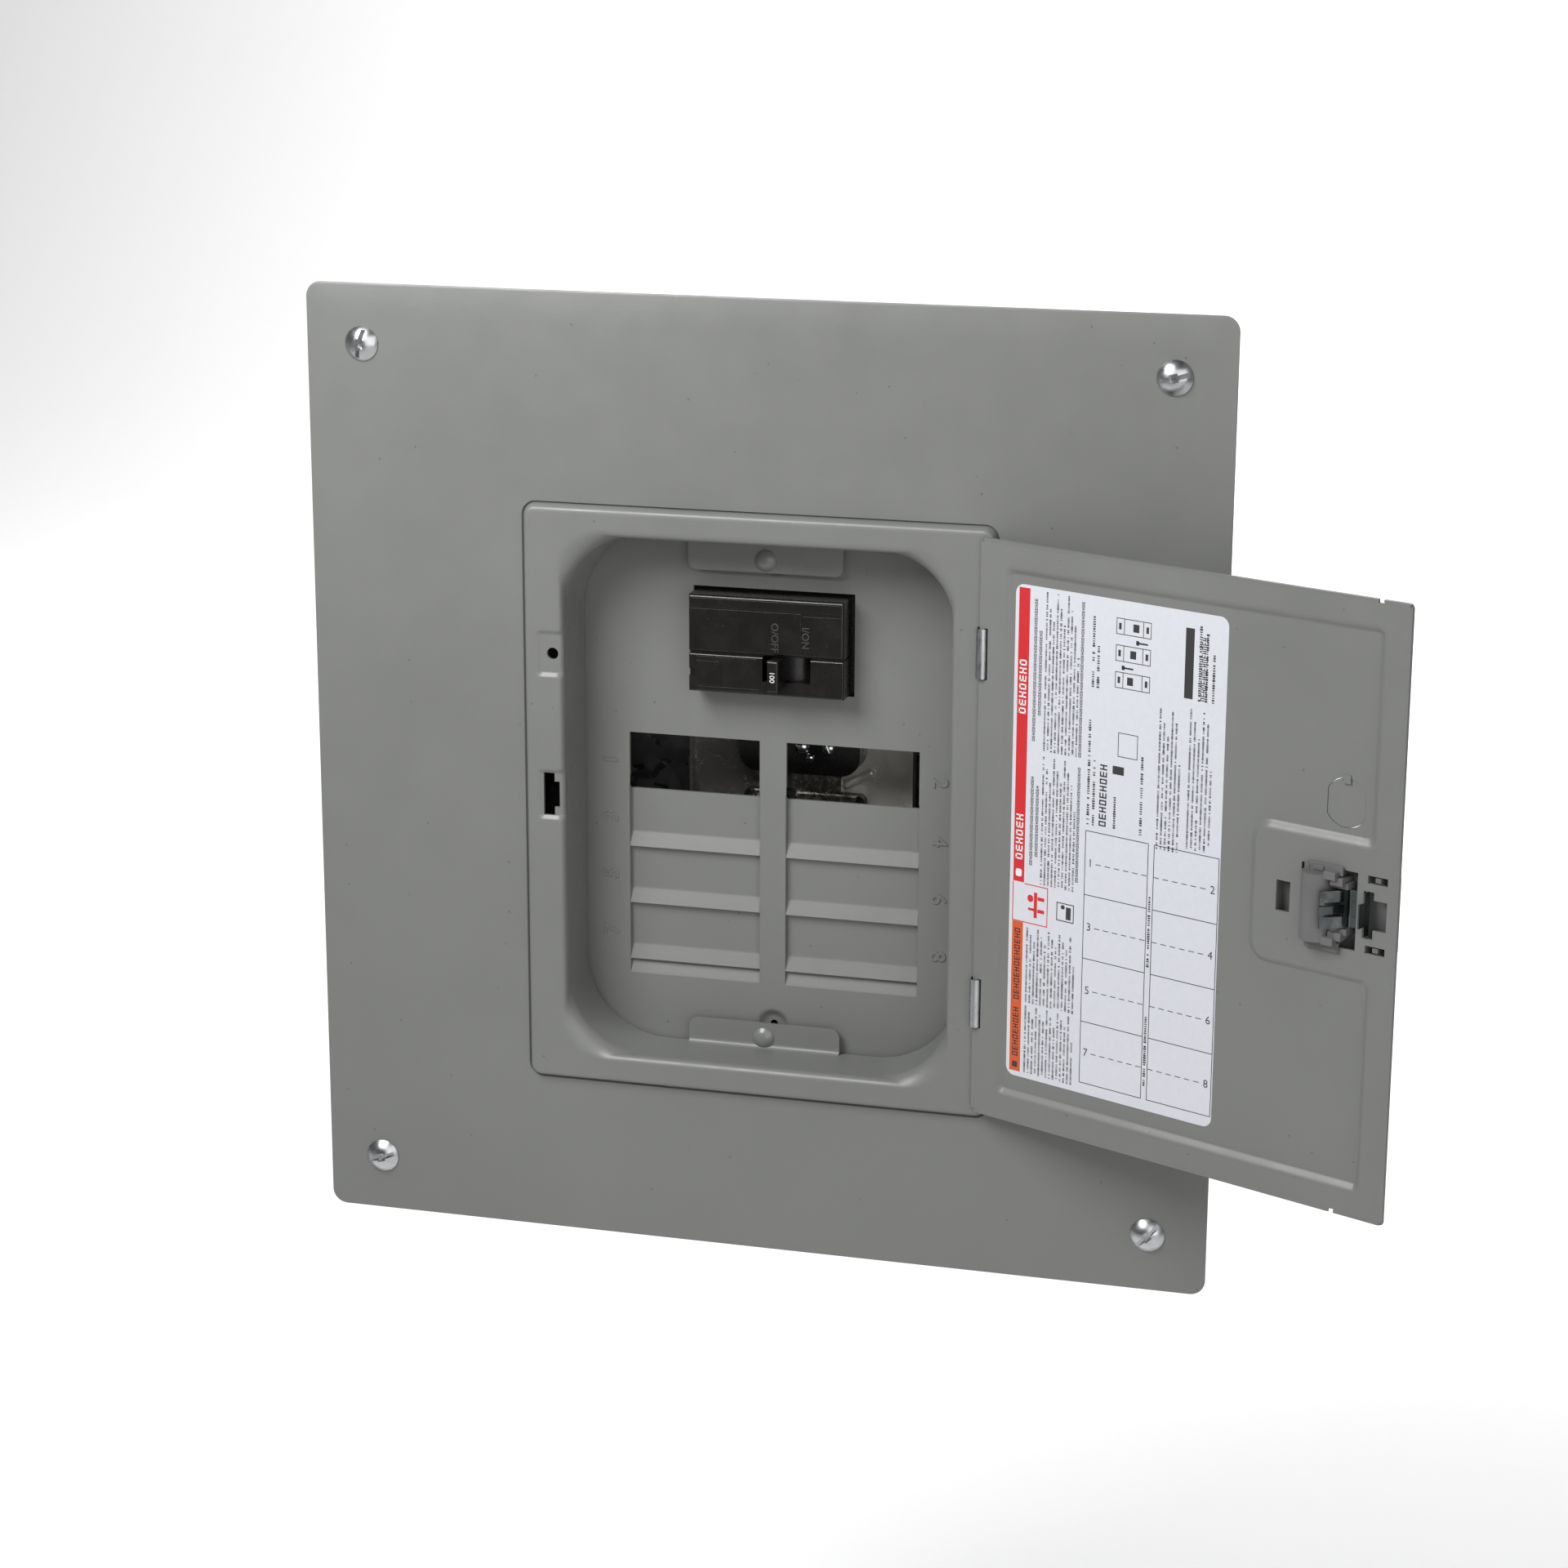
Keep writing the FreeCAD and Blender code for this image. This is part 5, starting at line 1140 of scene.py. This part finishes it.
def build_label():
    size = bpy.context.scene.load_center_sizes
    dress("door_label", "label_vinyl")
    inked("label_red_band", "red_ink", [(17.2, 22.6, -27.0, 95.2)])
    inked("label_orange_band", "orange_ink", [(17.2, 22.6, -108.6, -44.0)])
    frame_lines = [(22.9, 34.6, -27.6, -27.2), (22.9, 34.6, -43.9, -43.5), (34.3, 34.7, -43.9, -27.2),
                   (17.0, 23.0, -43.9, -43.5), (17.0, 17.4, -43.9, -27.2)]
    inked("label_red_marks", "red_ink", frame_lines + RED_SKETCH)
    white = [shape for z0, z1 in WHITE_WORDS for shape in glyphs(18.1, 21.6, z0, z1, 3.3)]
    inked("label_white_words", "white_ink", white + [(18.4, 21.4, -24.8, -21.6, 0.8, 2)])
    dark = [shape for z0, z1 in DARK_WORDS for shape in glyphs(18.5, 21.3, z0, z1, 2.4)]
    bold = [shape for word in BOLD_WORDS for shape in glyphs(*word)]
    inked("label_dark_words", "black_ink", dark + bold + [(18.6, 21.2, -107.0, -104.4, 0.7, 2)])
    inked("label_rules", "black_ink", table_rules() + BLOCK_LINES)
    inked("label_sketches", "black_ink", breaker_sketches() + DARK_SKETCH)
    numbers = []
    for i, z in enumerate(TABLE_DASHES):
        for number, u in ((2 * i + 1, TABLE[0] + 2.6), (2 * i + 2, TABLE[1] - 2.6)):
            place = Matrix.Translation((HINGE_X - u, LABEL_FACE - INK_ROOT, z))
            place = place @ Matrix.Rotation(math.pi, 4, "Z")
            numbers.append(characters(str(number), 3.3, size.ink / MM + INK_ROOT, place))
    finish_piece(joined("label_numbers", *numbers), "black_ink", "door", "label_vinyl", swung=True)
    tree = print_tree()
    for name, blocks, pitch, height, share in SMALL_PRINT:
        points = [point for block in blocks for point in print_rows(block)]
        values = {"Letter Pitch": pitch, "Letter Height": height, "Ink": 0.03, "Share Printed": share,
                  "Seed": size.print_seed, "Finish": material("black_ink")}
        rows = run_network(tree, name, points, values, lines=True)
        finish_piece(rows, "black_ink", "door", "label_vinyl", swung=True)


# ---- fasteners ----
def head(radius, crown, skirt=0.3, shank=(2.0, 8.0), slot=(0.8, 0.9), square=0.0):
    """Inputs of the screw tree; a slot or square of 0 leaves the head plain."""
    tiny = 0.01
    return {"Head Radius": radius, "Crown": crown, "Skirt": skirt, "Shank Radius": shank[0],
            "Shank Length": shank[1], "Slot Width": slot[0] or tiny,
            "Slot Depth": slot[1] if slot[0] else -1.0, "Square": square or tiny}


def fastener_sets():
    """For each CAD node of screws: its slot, finish, spots in millimetres, turns and head."""
    size = bpy.context.scene.load_center_sizes
    box_back = -FLANGE_Y - 1.4
    pan_feet_y, ground_y = box_back - 1.2, box_back - 11.6
    bar_x, bar_y, bar_z, bar_pitch = 70.0, 62.6, -107.0, 8.5
    bars = [(side * bar_x, bar_y, bar_z + bar_pitch * i) for side in (-1, 1) for i in range(9)]
    ground_x, ground_z, ground_pitch = 123.0, -75.0, 8.2
    ground = [(ground_x, ground_y, ground_z + ground_pitch * i) for i in range(10)]
    bar_head = head(2.0, 0.5, 1.6, (1.6, 2.4), (0.9, 1.1))
    return (
        ("cover_screws", "zinc_hardware", "zinc_plate",
         [(sx * SCREW_X, 0, sz * SCREW_Z) for sx, sz in SCREW_TURNS], SCREW_TURNS.values(),
         head(size.cover_screw_radius / MM, size.cover_screw_crown / MM, 0.5, (2.3, 15.0), (1.9, 2.1), 3.6)),
        ("dead_front_rivets", "grey_rivet", "rivet_enamel", [(x, TAB_DEPTH, z) for x, z in RIVETS], (0, 0),
         head(size.rivet_radius / MM, 1.9, 0.35, (2.05, 6.0), (0, 0))),
        ("pan_screws", "zinc_hardware", "zinc_plate",
         [(sx * 38.0, pan_feet_y, sz * 116.0) for sx in (-1, 1) for sz in (-1, 1)], (0, 30, 60, 90),
         head(4.6, 2.0, 0.5, (2.3, 1.2), (1.2, 1.2))),
        ("neutral_bar_screws", "zinc_hardware", "zinc_plate", bars, [37 * i for i in range(18)], bar_head),
        ("ground_bar_screws", "zinc_hardware", "zinc_plate", ground, [53 * i for i in range(10)], bar_head),
    )


def build_fasteners():
    tree = screw_tree()
    for node, slot, finish, spots, turns, values in fastener_sets():
        values["Finish"] = material(finish)
        heads = run_network(tree, node + "_turned", spots, values, turns=turns)
        outward(heads)
        finish_piece(heads, finish, "root", slot, [node], angle=28)
    dress_all({
        "bright_zinc": ("bus_insulator_screws", "neutral_lug_screw", "line_lug_screws", "main_breaker_rivets",
                        "breaker_base_screws", "handle_pin", "contact_arm_pin"),
        "green_dye": ("bonding_screw", "ground_bar_mounting_screws"),
    })


# ---- main breaker ----
def build_breaker():
    """Raised panels, seams and moulded marks on the face of the CAD breaker."""
    dress_all({"breaker_moulding": ("main_breaker_case", "main_breaker_base", "breaker_handle")})
    face = CASE_DEPTH + 0.2
    (x0, x1), (low, top) = BREAKER_X, BREAKER_Z
    seam = top - 24.7
    panels = Drawing()
    blocks = (((x0 + 0.9, x1 - 0.9), (top - 5.2, top - 1.3), 0.30),
              ((x0 + 0.9, 15.4), (seam + 1.2, top - 5.7), 0.38),
              ((15.9, x1 - 0.9), (seam + 1.2, top - 6.6), 0.28),
              ((x0 + 3.2, -3.4), (seam - 3.0, seam - 1.5), 0.0),
              ((x0 + 3.2, -3.4), (low + 1.0, low + 2.4), 0.0),
              ((x0 + 3.2, -20.0), (low + 2.9, seam - 3.5), 0.05))
    for x, z, rise in blocks:
        panels.box(x, (face - rise, face + 0.9), z, bevel=0.22)
    for x in (-30.6, -11.2, 6.0):
        panels.box((x, x + 0.25), (face - 0.45, face + 0.2), (seam + 1.3, top - 5.8))
    finish_piece(panels.object("breaker_face_panels"), "breaker_moulding", "root", "breaker_moulding")
    sideways = Matrix.Rotation(math.radians(90), 4, "Y")
    marks = [characters(text, 3.1, 0.25, Matrix.Translation((x, face - 0.38, z)) @ sideways, 0.1)
             for text, x, z in (("O/OFF", 4.0, 62.0), ("I/ON", 17.2, 62.6))]
    finish_piece(joined("breaker_raised_marks", *marks), "rubbed_moulding", "root", "breaker_moulding")
    pivot = Vector((HANDLE_X, HANDLE_PIVOT, 0))
    tilt = Matrix.Rotation(math.radians(HANDLE_TILT), 4, "Z")
    lean = Matrix.Translation(pivot) @ tilt @ Matrix.Translation(-pivot)
    tip = Matrix.Translation((HANDLE_X, HANDLE_PIVOT - LEVER_REACH, HANDLE_Z))
    rating = joined("breaker_rating", characters("100", 2.3, 0.08, lean @ tip @ sideways))
    finish_piece(rating, "white_ink", "handle", "breaker_moulding")
    tick = Drawing()
    paint = (face + 0.08, face + 0.2)
    tick.box((-25.0, -23.7), paint, (41.4, 44.0), turn=((-24.3, 0, 42.7), "Y", -14))
    tick.box((-25.6, -24.2), paint, (43.5, 44.5), turn=((-24.9, 0, 44.0), "Y", -8))
    finish_piece(tick.object("breaker_paint_tick"), "white_ink", "root", "breaker_moulding")


# ---- latch ----
def folded(points, thickness, radius, z0, z1):
    """A strip of sheet folded through points (u, y) on the door, its bends rounded, z0 to z1 tall."""
    line = [Vector(points[0])]
    for before, corner, after in zip(points, points[1:], points[2:]):
        before, corner, after = Vector(before), Vector(corner), Vector(after)
        start = corner + (before - corner).normalized() * radius
        end = corner + (after - corner).normalized() * radius
        line += [(1 - t) ** 2 * start + 2 * t * (1 - t) * corner + t * t * end
                 for t in (0, 0.25, 0.5, 0.75, 1)]
    line.append(Vector(points[-1]))
    left, right = [], []
    for i, here in enumerate(line):
        along = (line[min(i + 1, len(line) - 1)] - line[max(i - 1, 0)]).normalized()
        side = Vector((-along.y, along.x)) * thickness / 2
        left.append((HINGE_X - (here + side).x, (here + side).y, z0))
        right.append((HINGE_X - (here - side).x, (here - side).y, z0))
    return left + right[::-1], (0, 0, z1 - z0)


def build_latch():
    """Hollow grip outside, rolled ridge and stepped shelves inside, and the folded spring catch."""
    skin = DOOR_INNER - DOOR_SHEET - 0.35
    inner = DOOR_INNER
    root, clear = skin - 4.2, inner + 0.35      # inside the grip, and just off the door's inner face

    def at(u0, u1):
        return HINGE_X - u1, HINGE_X - u0

    grip = Drawing().plate(at(141.6, 193.8), (-26.2, 10.0), (skin - 5.6, skin), 4.0, bevel=0.7)
    grip = grip.object("latch_grip")
    carve(grip, Drawing().plate(at(143.2, 192.2), (-24.6, 8.4), (skin - 3.6, skin + 1), 2.6))
    scoop_x, scoop_y = HINGE_X - 181.0, skin - 10.6
    carve(grip, Drawing().rod((scoop_x, scoop_y, -20), (scoop_x, scoop_y, 3.8), 6.0, sides=64))
    slide = Drawing()
    low, high = LATCH_Z - 13.6, LATCH_Z + 13.2
    ridge_u, ridge_r = (155.4, 168.0), 6.3
    slide.box(at(*ridge_u), (root, inner + 0.5), (low, high), bevel=0.25)
    crown = [(HINGE_X - ridge_u[0], inner + 0.2, low)]
    for i in range(21):
        angle = math.pi * i / 20
        crown.append((HINGE_X - sum(ridge_u) / 2 + ridge_r * math.cos(angle),
                      inner + 0.4 + ridge_r * math.sin(angle), low))
    crown.append((HINGE_X - ridge_u[1], inner + 0.2, low))
    slide.prism(crown, (0, 0, high - low))
    slide.box(at(156.2, 158.6), (clear, inner + 1.5), (high - 0.2, high + 3.0), bevel=0.25)
    slide.box(at(158.6, 173.2), (clear, inner + 1.5), (high - 0.1, high + 3.6), bevel=0.25)
    slide.box(at(160.2, 165.0), (inner + 1.3, inner + 2.1), (high + 0.8, high + 2.8), bevel=0.2)
    slide.box(at(157.4, 172.4), (clear, inner + 1.6), (low - 3.8, low + 0.1), bevel=0.25)
    for way in (1, -1):
        steps = ((166.2, 171.6, 4.4, 11.4, 14.6), (168.4, 174.2, 3.0, 9.2, 12.4),
                 (166.8, 175.6, 1.2, 7.9, 10.4))
        for u0, u1, rise, near, far in steps:
            z = sorted((LATCH_Z + 0.2 + way * near, LATCH_Z + 0.2 + way * far))
            slide.box(at(u0, u1), (root, inner + rise), z, bevel=0.3)
    for z in (5.65, -21.95):
        slide.box(at(186.3, 188.8), (root, inner - 0.4), (z - 1.0, z + 1.0), bevel=0.2)
    piece = joined("latch_slide_moulding", grip, slide.object("slide"))
    finish_piece(piece, "latch_nylon", "latch", "latch_plastic", ["latch_slide"], swung=True)
    run = ((167.4, inner + 7.9), (173.0, inner + 1.3), (174.9, inner - 2.4), (182.9, inner - 2.4),
           (182.9, inner + 1.3))
    catch = Drawing()
    for z0, z1 in ((-7.2, -2.6), (3.2, 7.7)):
        catch.prism(*folded(run, 0.7, 1.0, LATCH_Z + z0, LATCH_Z + z1))
    catch.prism(*folded(run[:1] + ((168.5, inner + 6.6),), 0.7, 0.2, LATCH_Z - 7.2, LATCH_Z + 7.7))
    catch.prism(*folded(((173.4, inner + 0.7),) + run[2:], 0.7, 1.0, LATCH_Z - 2.8, LATCH_Z + 3.4))
    catch.prism(*folded(((168.2, inner + 9.6), (171.8, inner + 3.6), (173.7, inner + 0.3)), 0.6, 1.2,
                        LATCH_Z - 1.2, LATCH_Z + 1.9))
    hook = at(182.55, 183.25)
    catch.box(hook, (inner - 2.4, inner + 1.2), (LATCH_Z - 9.0, LATCH_Z + 8.4), bevel=0.12)
    catch.box(hook, (inner + 0.9, inner + 5.2), (LATCH_Z - 4.9, LATCH_Z + 4.9), bevel=0.2)
    finish_piece(catch.object("latch_spring_catch"), "spring_zinc", "latch", "zinc_hardware",
                 ["latch_catch"], swung=True)


def build_hinges():
    dress_all({"zinc_plate": ("hinge_clip_upper", "hinge_clip_lower")})


# ---- interior ----
def build_interior():
    dress_all({
        "pan_steel": ("mounting_pan", "hook_rails"),
        "black_insulator": ("bus_insulator", "neutral_stand_offs"),
        "tin_plate": ("bus_bar_left", "bus_bar_right", "bus_stabs", "neutral_strap"),
        "lug_metal": ("line_lugs", "neutral_lug", "neutral_bar_left", "neutral_bar_right", "ground_bar"),
        "copper": ("contact_arms", "fixed_contacts", "line_lug_straps", "neutral_lug_bracket"),
    })


def build_enclosure():
    dress("enclosure_box", "galvanised_box")


# ---- stage, in metres ----
FLOOR_GAP, LENS_MM = 0.35, 80.93
EYE_PLACE = (0.38450, -1.46407, 0.37991)
EYE_RIGHT, EYE_UP = Vector((0.96469, 0.26336, 0.00421)), Vector((-0.07147, 0.24635, 0.96654))


def lamp(name, place, target, size, power):
    """A soft square light aimed at a point, in metres and watts."""
    light = bpy.data.lights.new(name, "AREA")
    light.shape = "SQUARE"
    light.size = size
    light.energy = power
    obj = bpy.data.objects.new(name, light)
    obj.location = place
    obj.rotation_euler = (Vector(target) - Vector(place)).to_track_quat("-Z", "Y").to_euler()
    bpy.context.scene.collection.objects.link(obj)


def build_stage():
    size = bpy.context.scene.load_center_sizes
    look = bpy.context.scene.load_center_colours
    half = size.floor_width / 2
    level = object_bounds()[0].z - FLOOR_GAP
    sweep, wall_y, wall_high = 1.2, 4.2, 4.0
    profile = [(-half, level), (wall_y - sweep, level)]
    for i in range(1, 17):
        angle = math.pi / 2 * i / 16
        profile.append((wall_y - sweep + sweep * math.sin(angle), level + sweep * (1 - math.cos(angle))))
    profile.append((wall_y, level + wall_high))
    faces = grid_faces(2, len(profile))
    floor = raw("floor", [(x, y, z) for y, z in profile for x in (-half, half)], faces)
    floor.data.polygons.foreach_set("use_smooth", [True] * len(faces))
    paint = Finish("pale_floor", look.floor, 0.9)
    tone = paint.mixed(paint.cloud(1.5, 2.0, 0.3, 0.7), look.floor, scaled(look.floor, 0.985))
    paint.join(tone, paint.shader["Base Color"])
    floor.data.materials.append(paint.material)
    floor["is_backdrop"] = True
    world = bpy.data.worlds.new("studio")
    world.use_nodes = True
    surround = world.node_tree.nodes["Background"].inputs
    surround["Color"].default_value = (1, 1, 1, 1)
    surround["Strength"].default_value = size.world_light
    bpy.context.scene.world = world
    lamp("key", (-0.35, -0.65, 0.65), (-0.06, 0.0, 0.02), 0.5, size.key_light)
    lamp("fill", (0.95, -1.5, 0.40), (0.0, 0.0, 0.0), 1.6, size.fill_light)
    lamp("backdrop_wash", (0.0, 2.0, 2.4), (0.0, 3.4, -0.2), 2.4, size.wash_light)
    bpy.context.scene.view_settings.view_transform = "Standard"
    camera = bpy.data.cameras.new("camera")
    camera.lens = LENS_MM
    camera.sensor_width = 36
    camera.clip_start = 0.05
    camera.clip_end = 50
    eye = bpy.data.objects.new("camera", camera)
    turn = Matrix((EYE_RIGHT, EYE_UP, EYE_RIGHT.cross(EYE_UP))).transposed().to_4x4()
    eye.matrix_world = Matrix.Translation(EYE_PLACE) @ turn
    bpy.context.scene.collection.objects.link(eye)
    bpy.context.scene.camera = eye


# ---- settings, operators and panel ----
def length_setting(name, description, millimetres, low=0.0, high=10.0):
    return FloatProperty(name=name, description=description, default=millimetres * MM, min=low * MM,
                         max=high * MM, unit="LENGTH", precision=5)


def power_setting(name, description, watts):
    return FloatProperty(name=name, description=description, default=watts, min=0, max=500, unit="POWER")


def colour_setting(name, description, default):
    return FloatVectorProperty(name=name, description=description, default=default, size=3, min=0.0,
                               max=1.0, subtype="COLOR")


class LoadCenterSizes(bpy.types.PropertyGroup):
    rim_drop: length_setting("Rim drop", "How far the cover's edge bends back", 1.35, 0, 3)
    cover_screw_radius: length_setting("Cover screw radius", "Radius of the four cover screws' heads", 7.25)
    cover_screw_crown: length_setting("Cover screw crown", "Height of the cover screws' domes", 3.2)
    rivet_radius: length_setting("Rivet radius", "Radius of the two grey rivet heads", 4.6)
    digit_height: length_setting("Digit height", "Height of the raised circuit numbers", 6.6, 3, 12)
    digit_relief: length_setting("Digit relief", "How far the circuit numbers stand out", 0.45, 0, 1)
    ink: length_setting("Ink", "Thickness of the label's print", 0.03, 0.01, 0.1)
    print_seed: IntProperty(name="Print seed", description="Seed of the small print's dashes", default=7)
    floor_width: length_setting("Floor width", "Side of the square floor", 14000, 1000, 50000)
    key_light: power_setting("Key light", "Soft light above and to the left", 11.5)
    fill_light: power_setting("Fill light", "Broad light from the right", 15)
    wash_light: power_setting("Wash light", "Light on the backdrop behind the panel", 140)
    world_light: FloatProperty(name="Surround light", description="Brightness of the white surround",
                               default=0.10, min=0, max=2)


class LoadCenterColours(bpy.types.PropertyGroup):
    enamel: colour_setting("Enamel", "Baked grey of the cover, dead front and door", (0.142, 0.146, 0.139))
    moulding: colour_setting("Breaker", "Near-black moulding of the main breaker", (0.0065, 0.0055, 0.005))
    latch: colour_setting("Latch", "Grey plastic of the latch slide", (0.105, 0.102, 0.102))
    label: colour_setting("Label", "Bare vinyl of the door label", (0.54, 0.55, 0.59))
    red: colour_setting("Red ink", "Upper band of the label", (0.50, 0.022, 0.026))
    orange: colour_setting("Orange ink", "Lower band of the label", (0.52, 0.085, 0.02))
    floor: colour_setting("Floor", "Pale studio floor", (0.92, 0.92, 0.92))


class CoverOperator(bpy.types.Operator):
    """Press the cover, its raised frame, formed opening and fixing tabs."""
    bl_idname = "load_center.cover"
    bl_label = "Cover"

    def execute(self, context):
        build_cover()
        return {"FINISHED"}


class DeadFrontOperator(bpy.types.Operator):
    """Press the dead front with its blanked spaces and raised circuit numbers."""
    bl_idname = "load_center.dead_front"
    bl_label = "Dead front"

    def execute(self, context):
        build_dead_front()
        return {"FINISHED"}


class DoorOperator(bpy.types.Operator):
    """Press the door panel and cut its openings."""
    bl_idname = "load_center.door"
    bl_label = "Door"

    def execute(self, context):
        build_door()
        return {"FINISHED"}


class LabelOperator(bpy.types.Operator):
    """Print the door label: bands, circuit directory and unreadable small print."""
    bl_idname = "load_center.label"
    bl_label = "Label"

    def execute(self, context):
        build_label()
        return {"FINISHED"}


class FastenersOperator(bpy.types.Operator):
    """Turn the screws and rivets with Geometry Nodes."""
    bl_idname = "load_center.fasteners"
    bl_label = "Fasteners"

    def execute(self, context):
        build_fasteners()
        return {"FINISHED"}


class BreakerOperator(bpy.types.Operator):
    """Finish the main breaker's face."""
    bl_idname = "load_center.breaker"
    bl_label = "Main breaker"

    def execute(self, context):
        build_breaker()
        return {"FINISHED"}


class LatchOperator(bpy.types.Operator):
    """Finish the latch slide and its spring catch."""
    bl_idname = "load_center.latch"
    bl_label = "Latch"

    def execute(self, context):
        build_latch()
        return {"FINISHED"}


class HingesOperator(bpy.types.Operator):
    """Finish the two rolled hinge clips."""
    bl_idname = "load_center.hinges"
    bl_label = "Hinges"

    def execute(self, context):
        build_hinges()
        return {"FINISHED"}


class InteriorOperator(bpy.types.Operator):
    """Finish the pan, bus, lugs and terminal bars."""
    bl_idname = "load_center.interior"
    bl_label = "Interior"

    def execute(self, context):
        build_interior()
        return {"FINISHED"}


class EnclosureOperator(bpy.types.Operator):
    """Galvanise the wall box."""
    bl_idname = "load_center.enclosure"
    bl_label = "Enclosure"

    def execute(self, context):
        build_enclosure()
        return {"FINISHED"}


class StageOperator(bpy.types.Operator):
    """Set the floor, the soft lights and the camera."""
    bl_idname = "load_center.stage"
    bl_label = "Stage"

    def execute(self, context):
        build_stage()
        return {"FINISHED"}


OPERATORS = (CoverOperator, DeadFrontOperator, DoorOperator, LabelOperator, FastenersOperator,
             BreakerOperator, LatchOperator, HingesOperator, InteriorOperator, EnclosureOperator,
             StageOperator)


class LoadCenterPanel(bpy.types.Panel):
    bl_idname = "VIEW3D_PT_load_center"
    bl_label = "Load Center"
    bl_space_type = "VIEW_3D"
    bl_region_type = "UI"
    bl_category = "Load Center"

    def draw(self, context):
        for group in (context.scene.load_center_sizes, context.scene.load_center_colours):
            column = self.layout.column()
            for name in group.__annotations__:
                column.prop(group, name)
        for operator in OPERATORS:
            self.layout.operator(operator.bl_idname)


CLASSES = (LoadCenterSizes, LoadCenterColours, *OPERATORS, LoadCenterPanel)


def register():
    for cls in CLASSES:
        bpy.utils.register_class(cls)
    bpy.types.Scene.load_center_sizes = PointerProperty(type=LoadCenterSizes)
    bpy.types.Scene.load_center_colours = PointerProperty(type=LoadCenterColours)


def unregister():
    del bpy.types.Scene.load_center_sizes
    del bpy.types.Scene.load_center_colours
    for cls in reversed(CLASSES):
        bpy.utils.unregister_class(cls)


def main():
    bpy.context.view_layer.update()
    register()
    for operator in OPERATORS:
        group, name = operator.bl_idname.split(".")
        getattr(getattr(bpy.ops, group), name)()


if __name__ == "__main__":
    main()
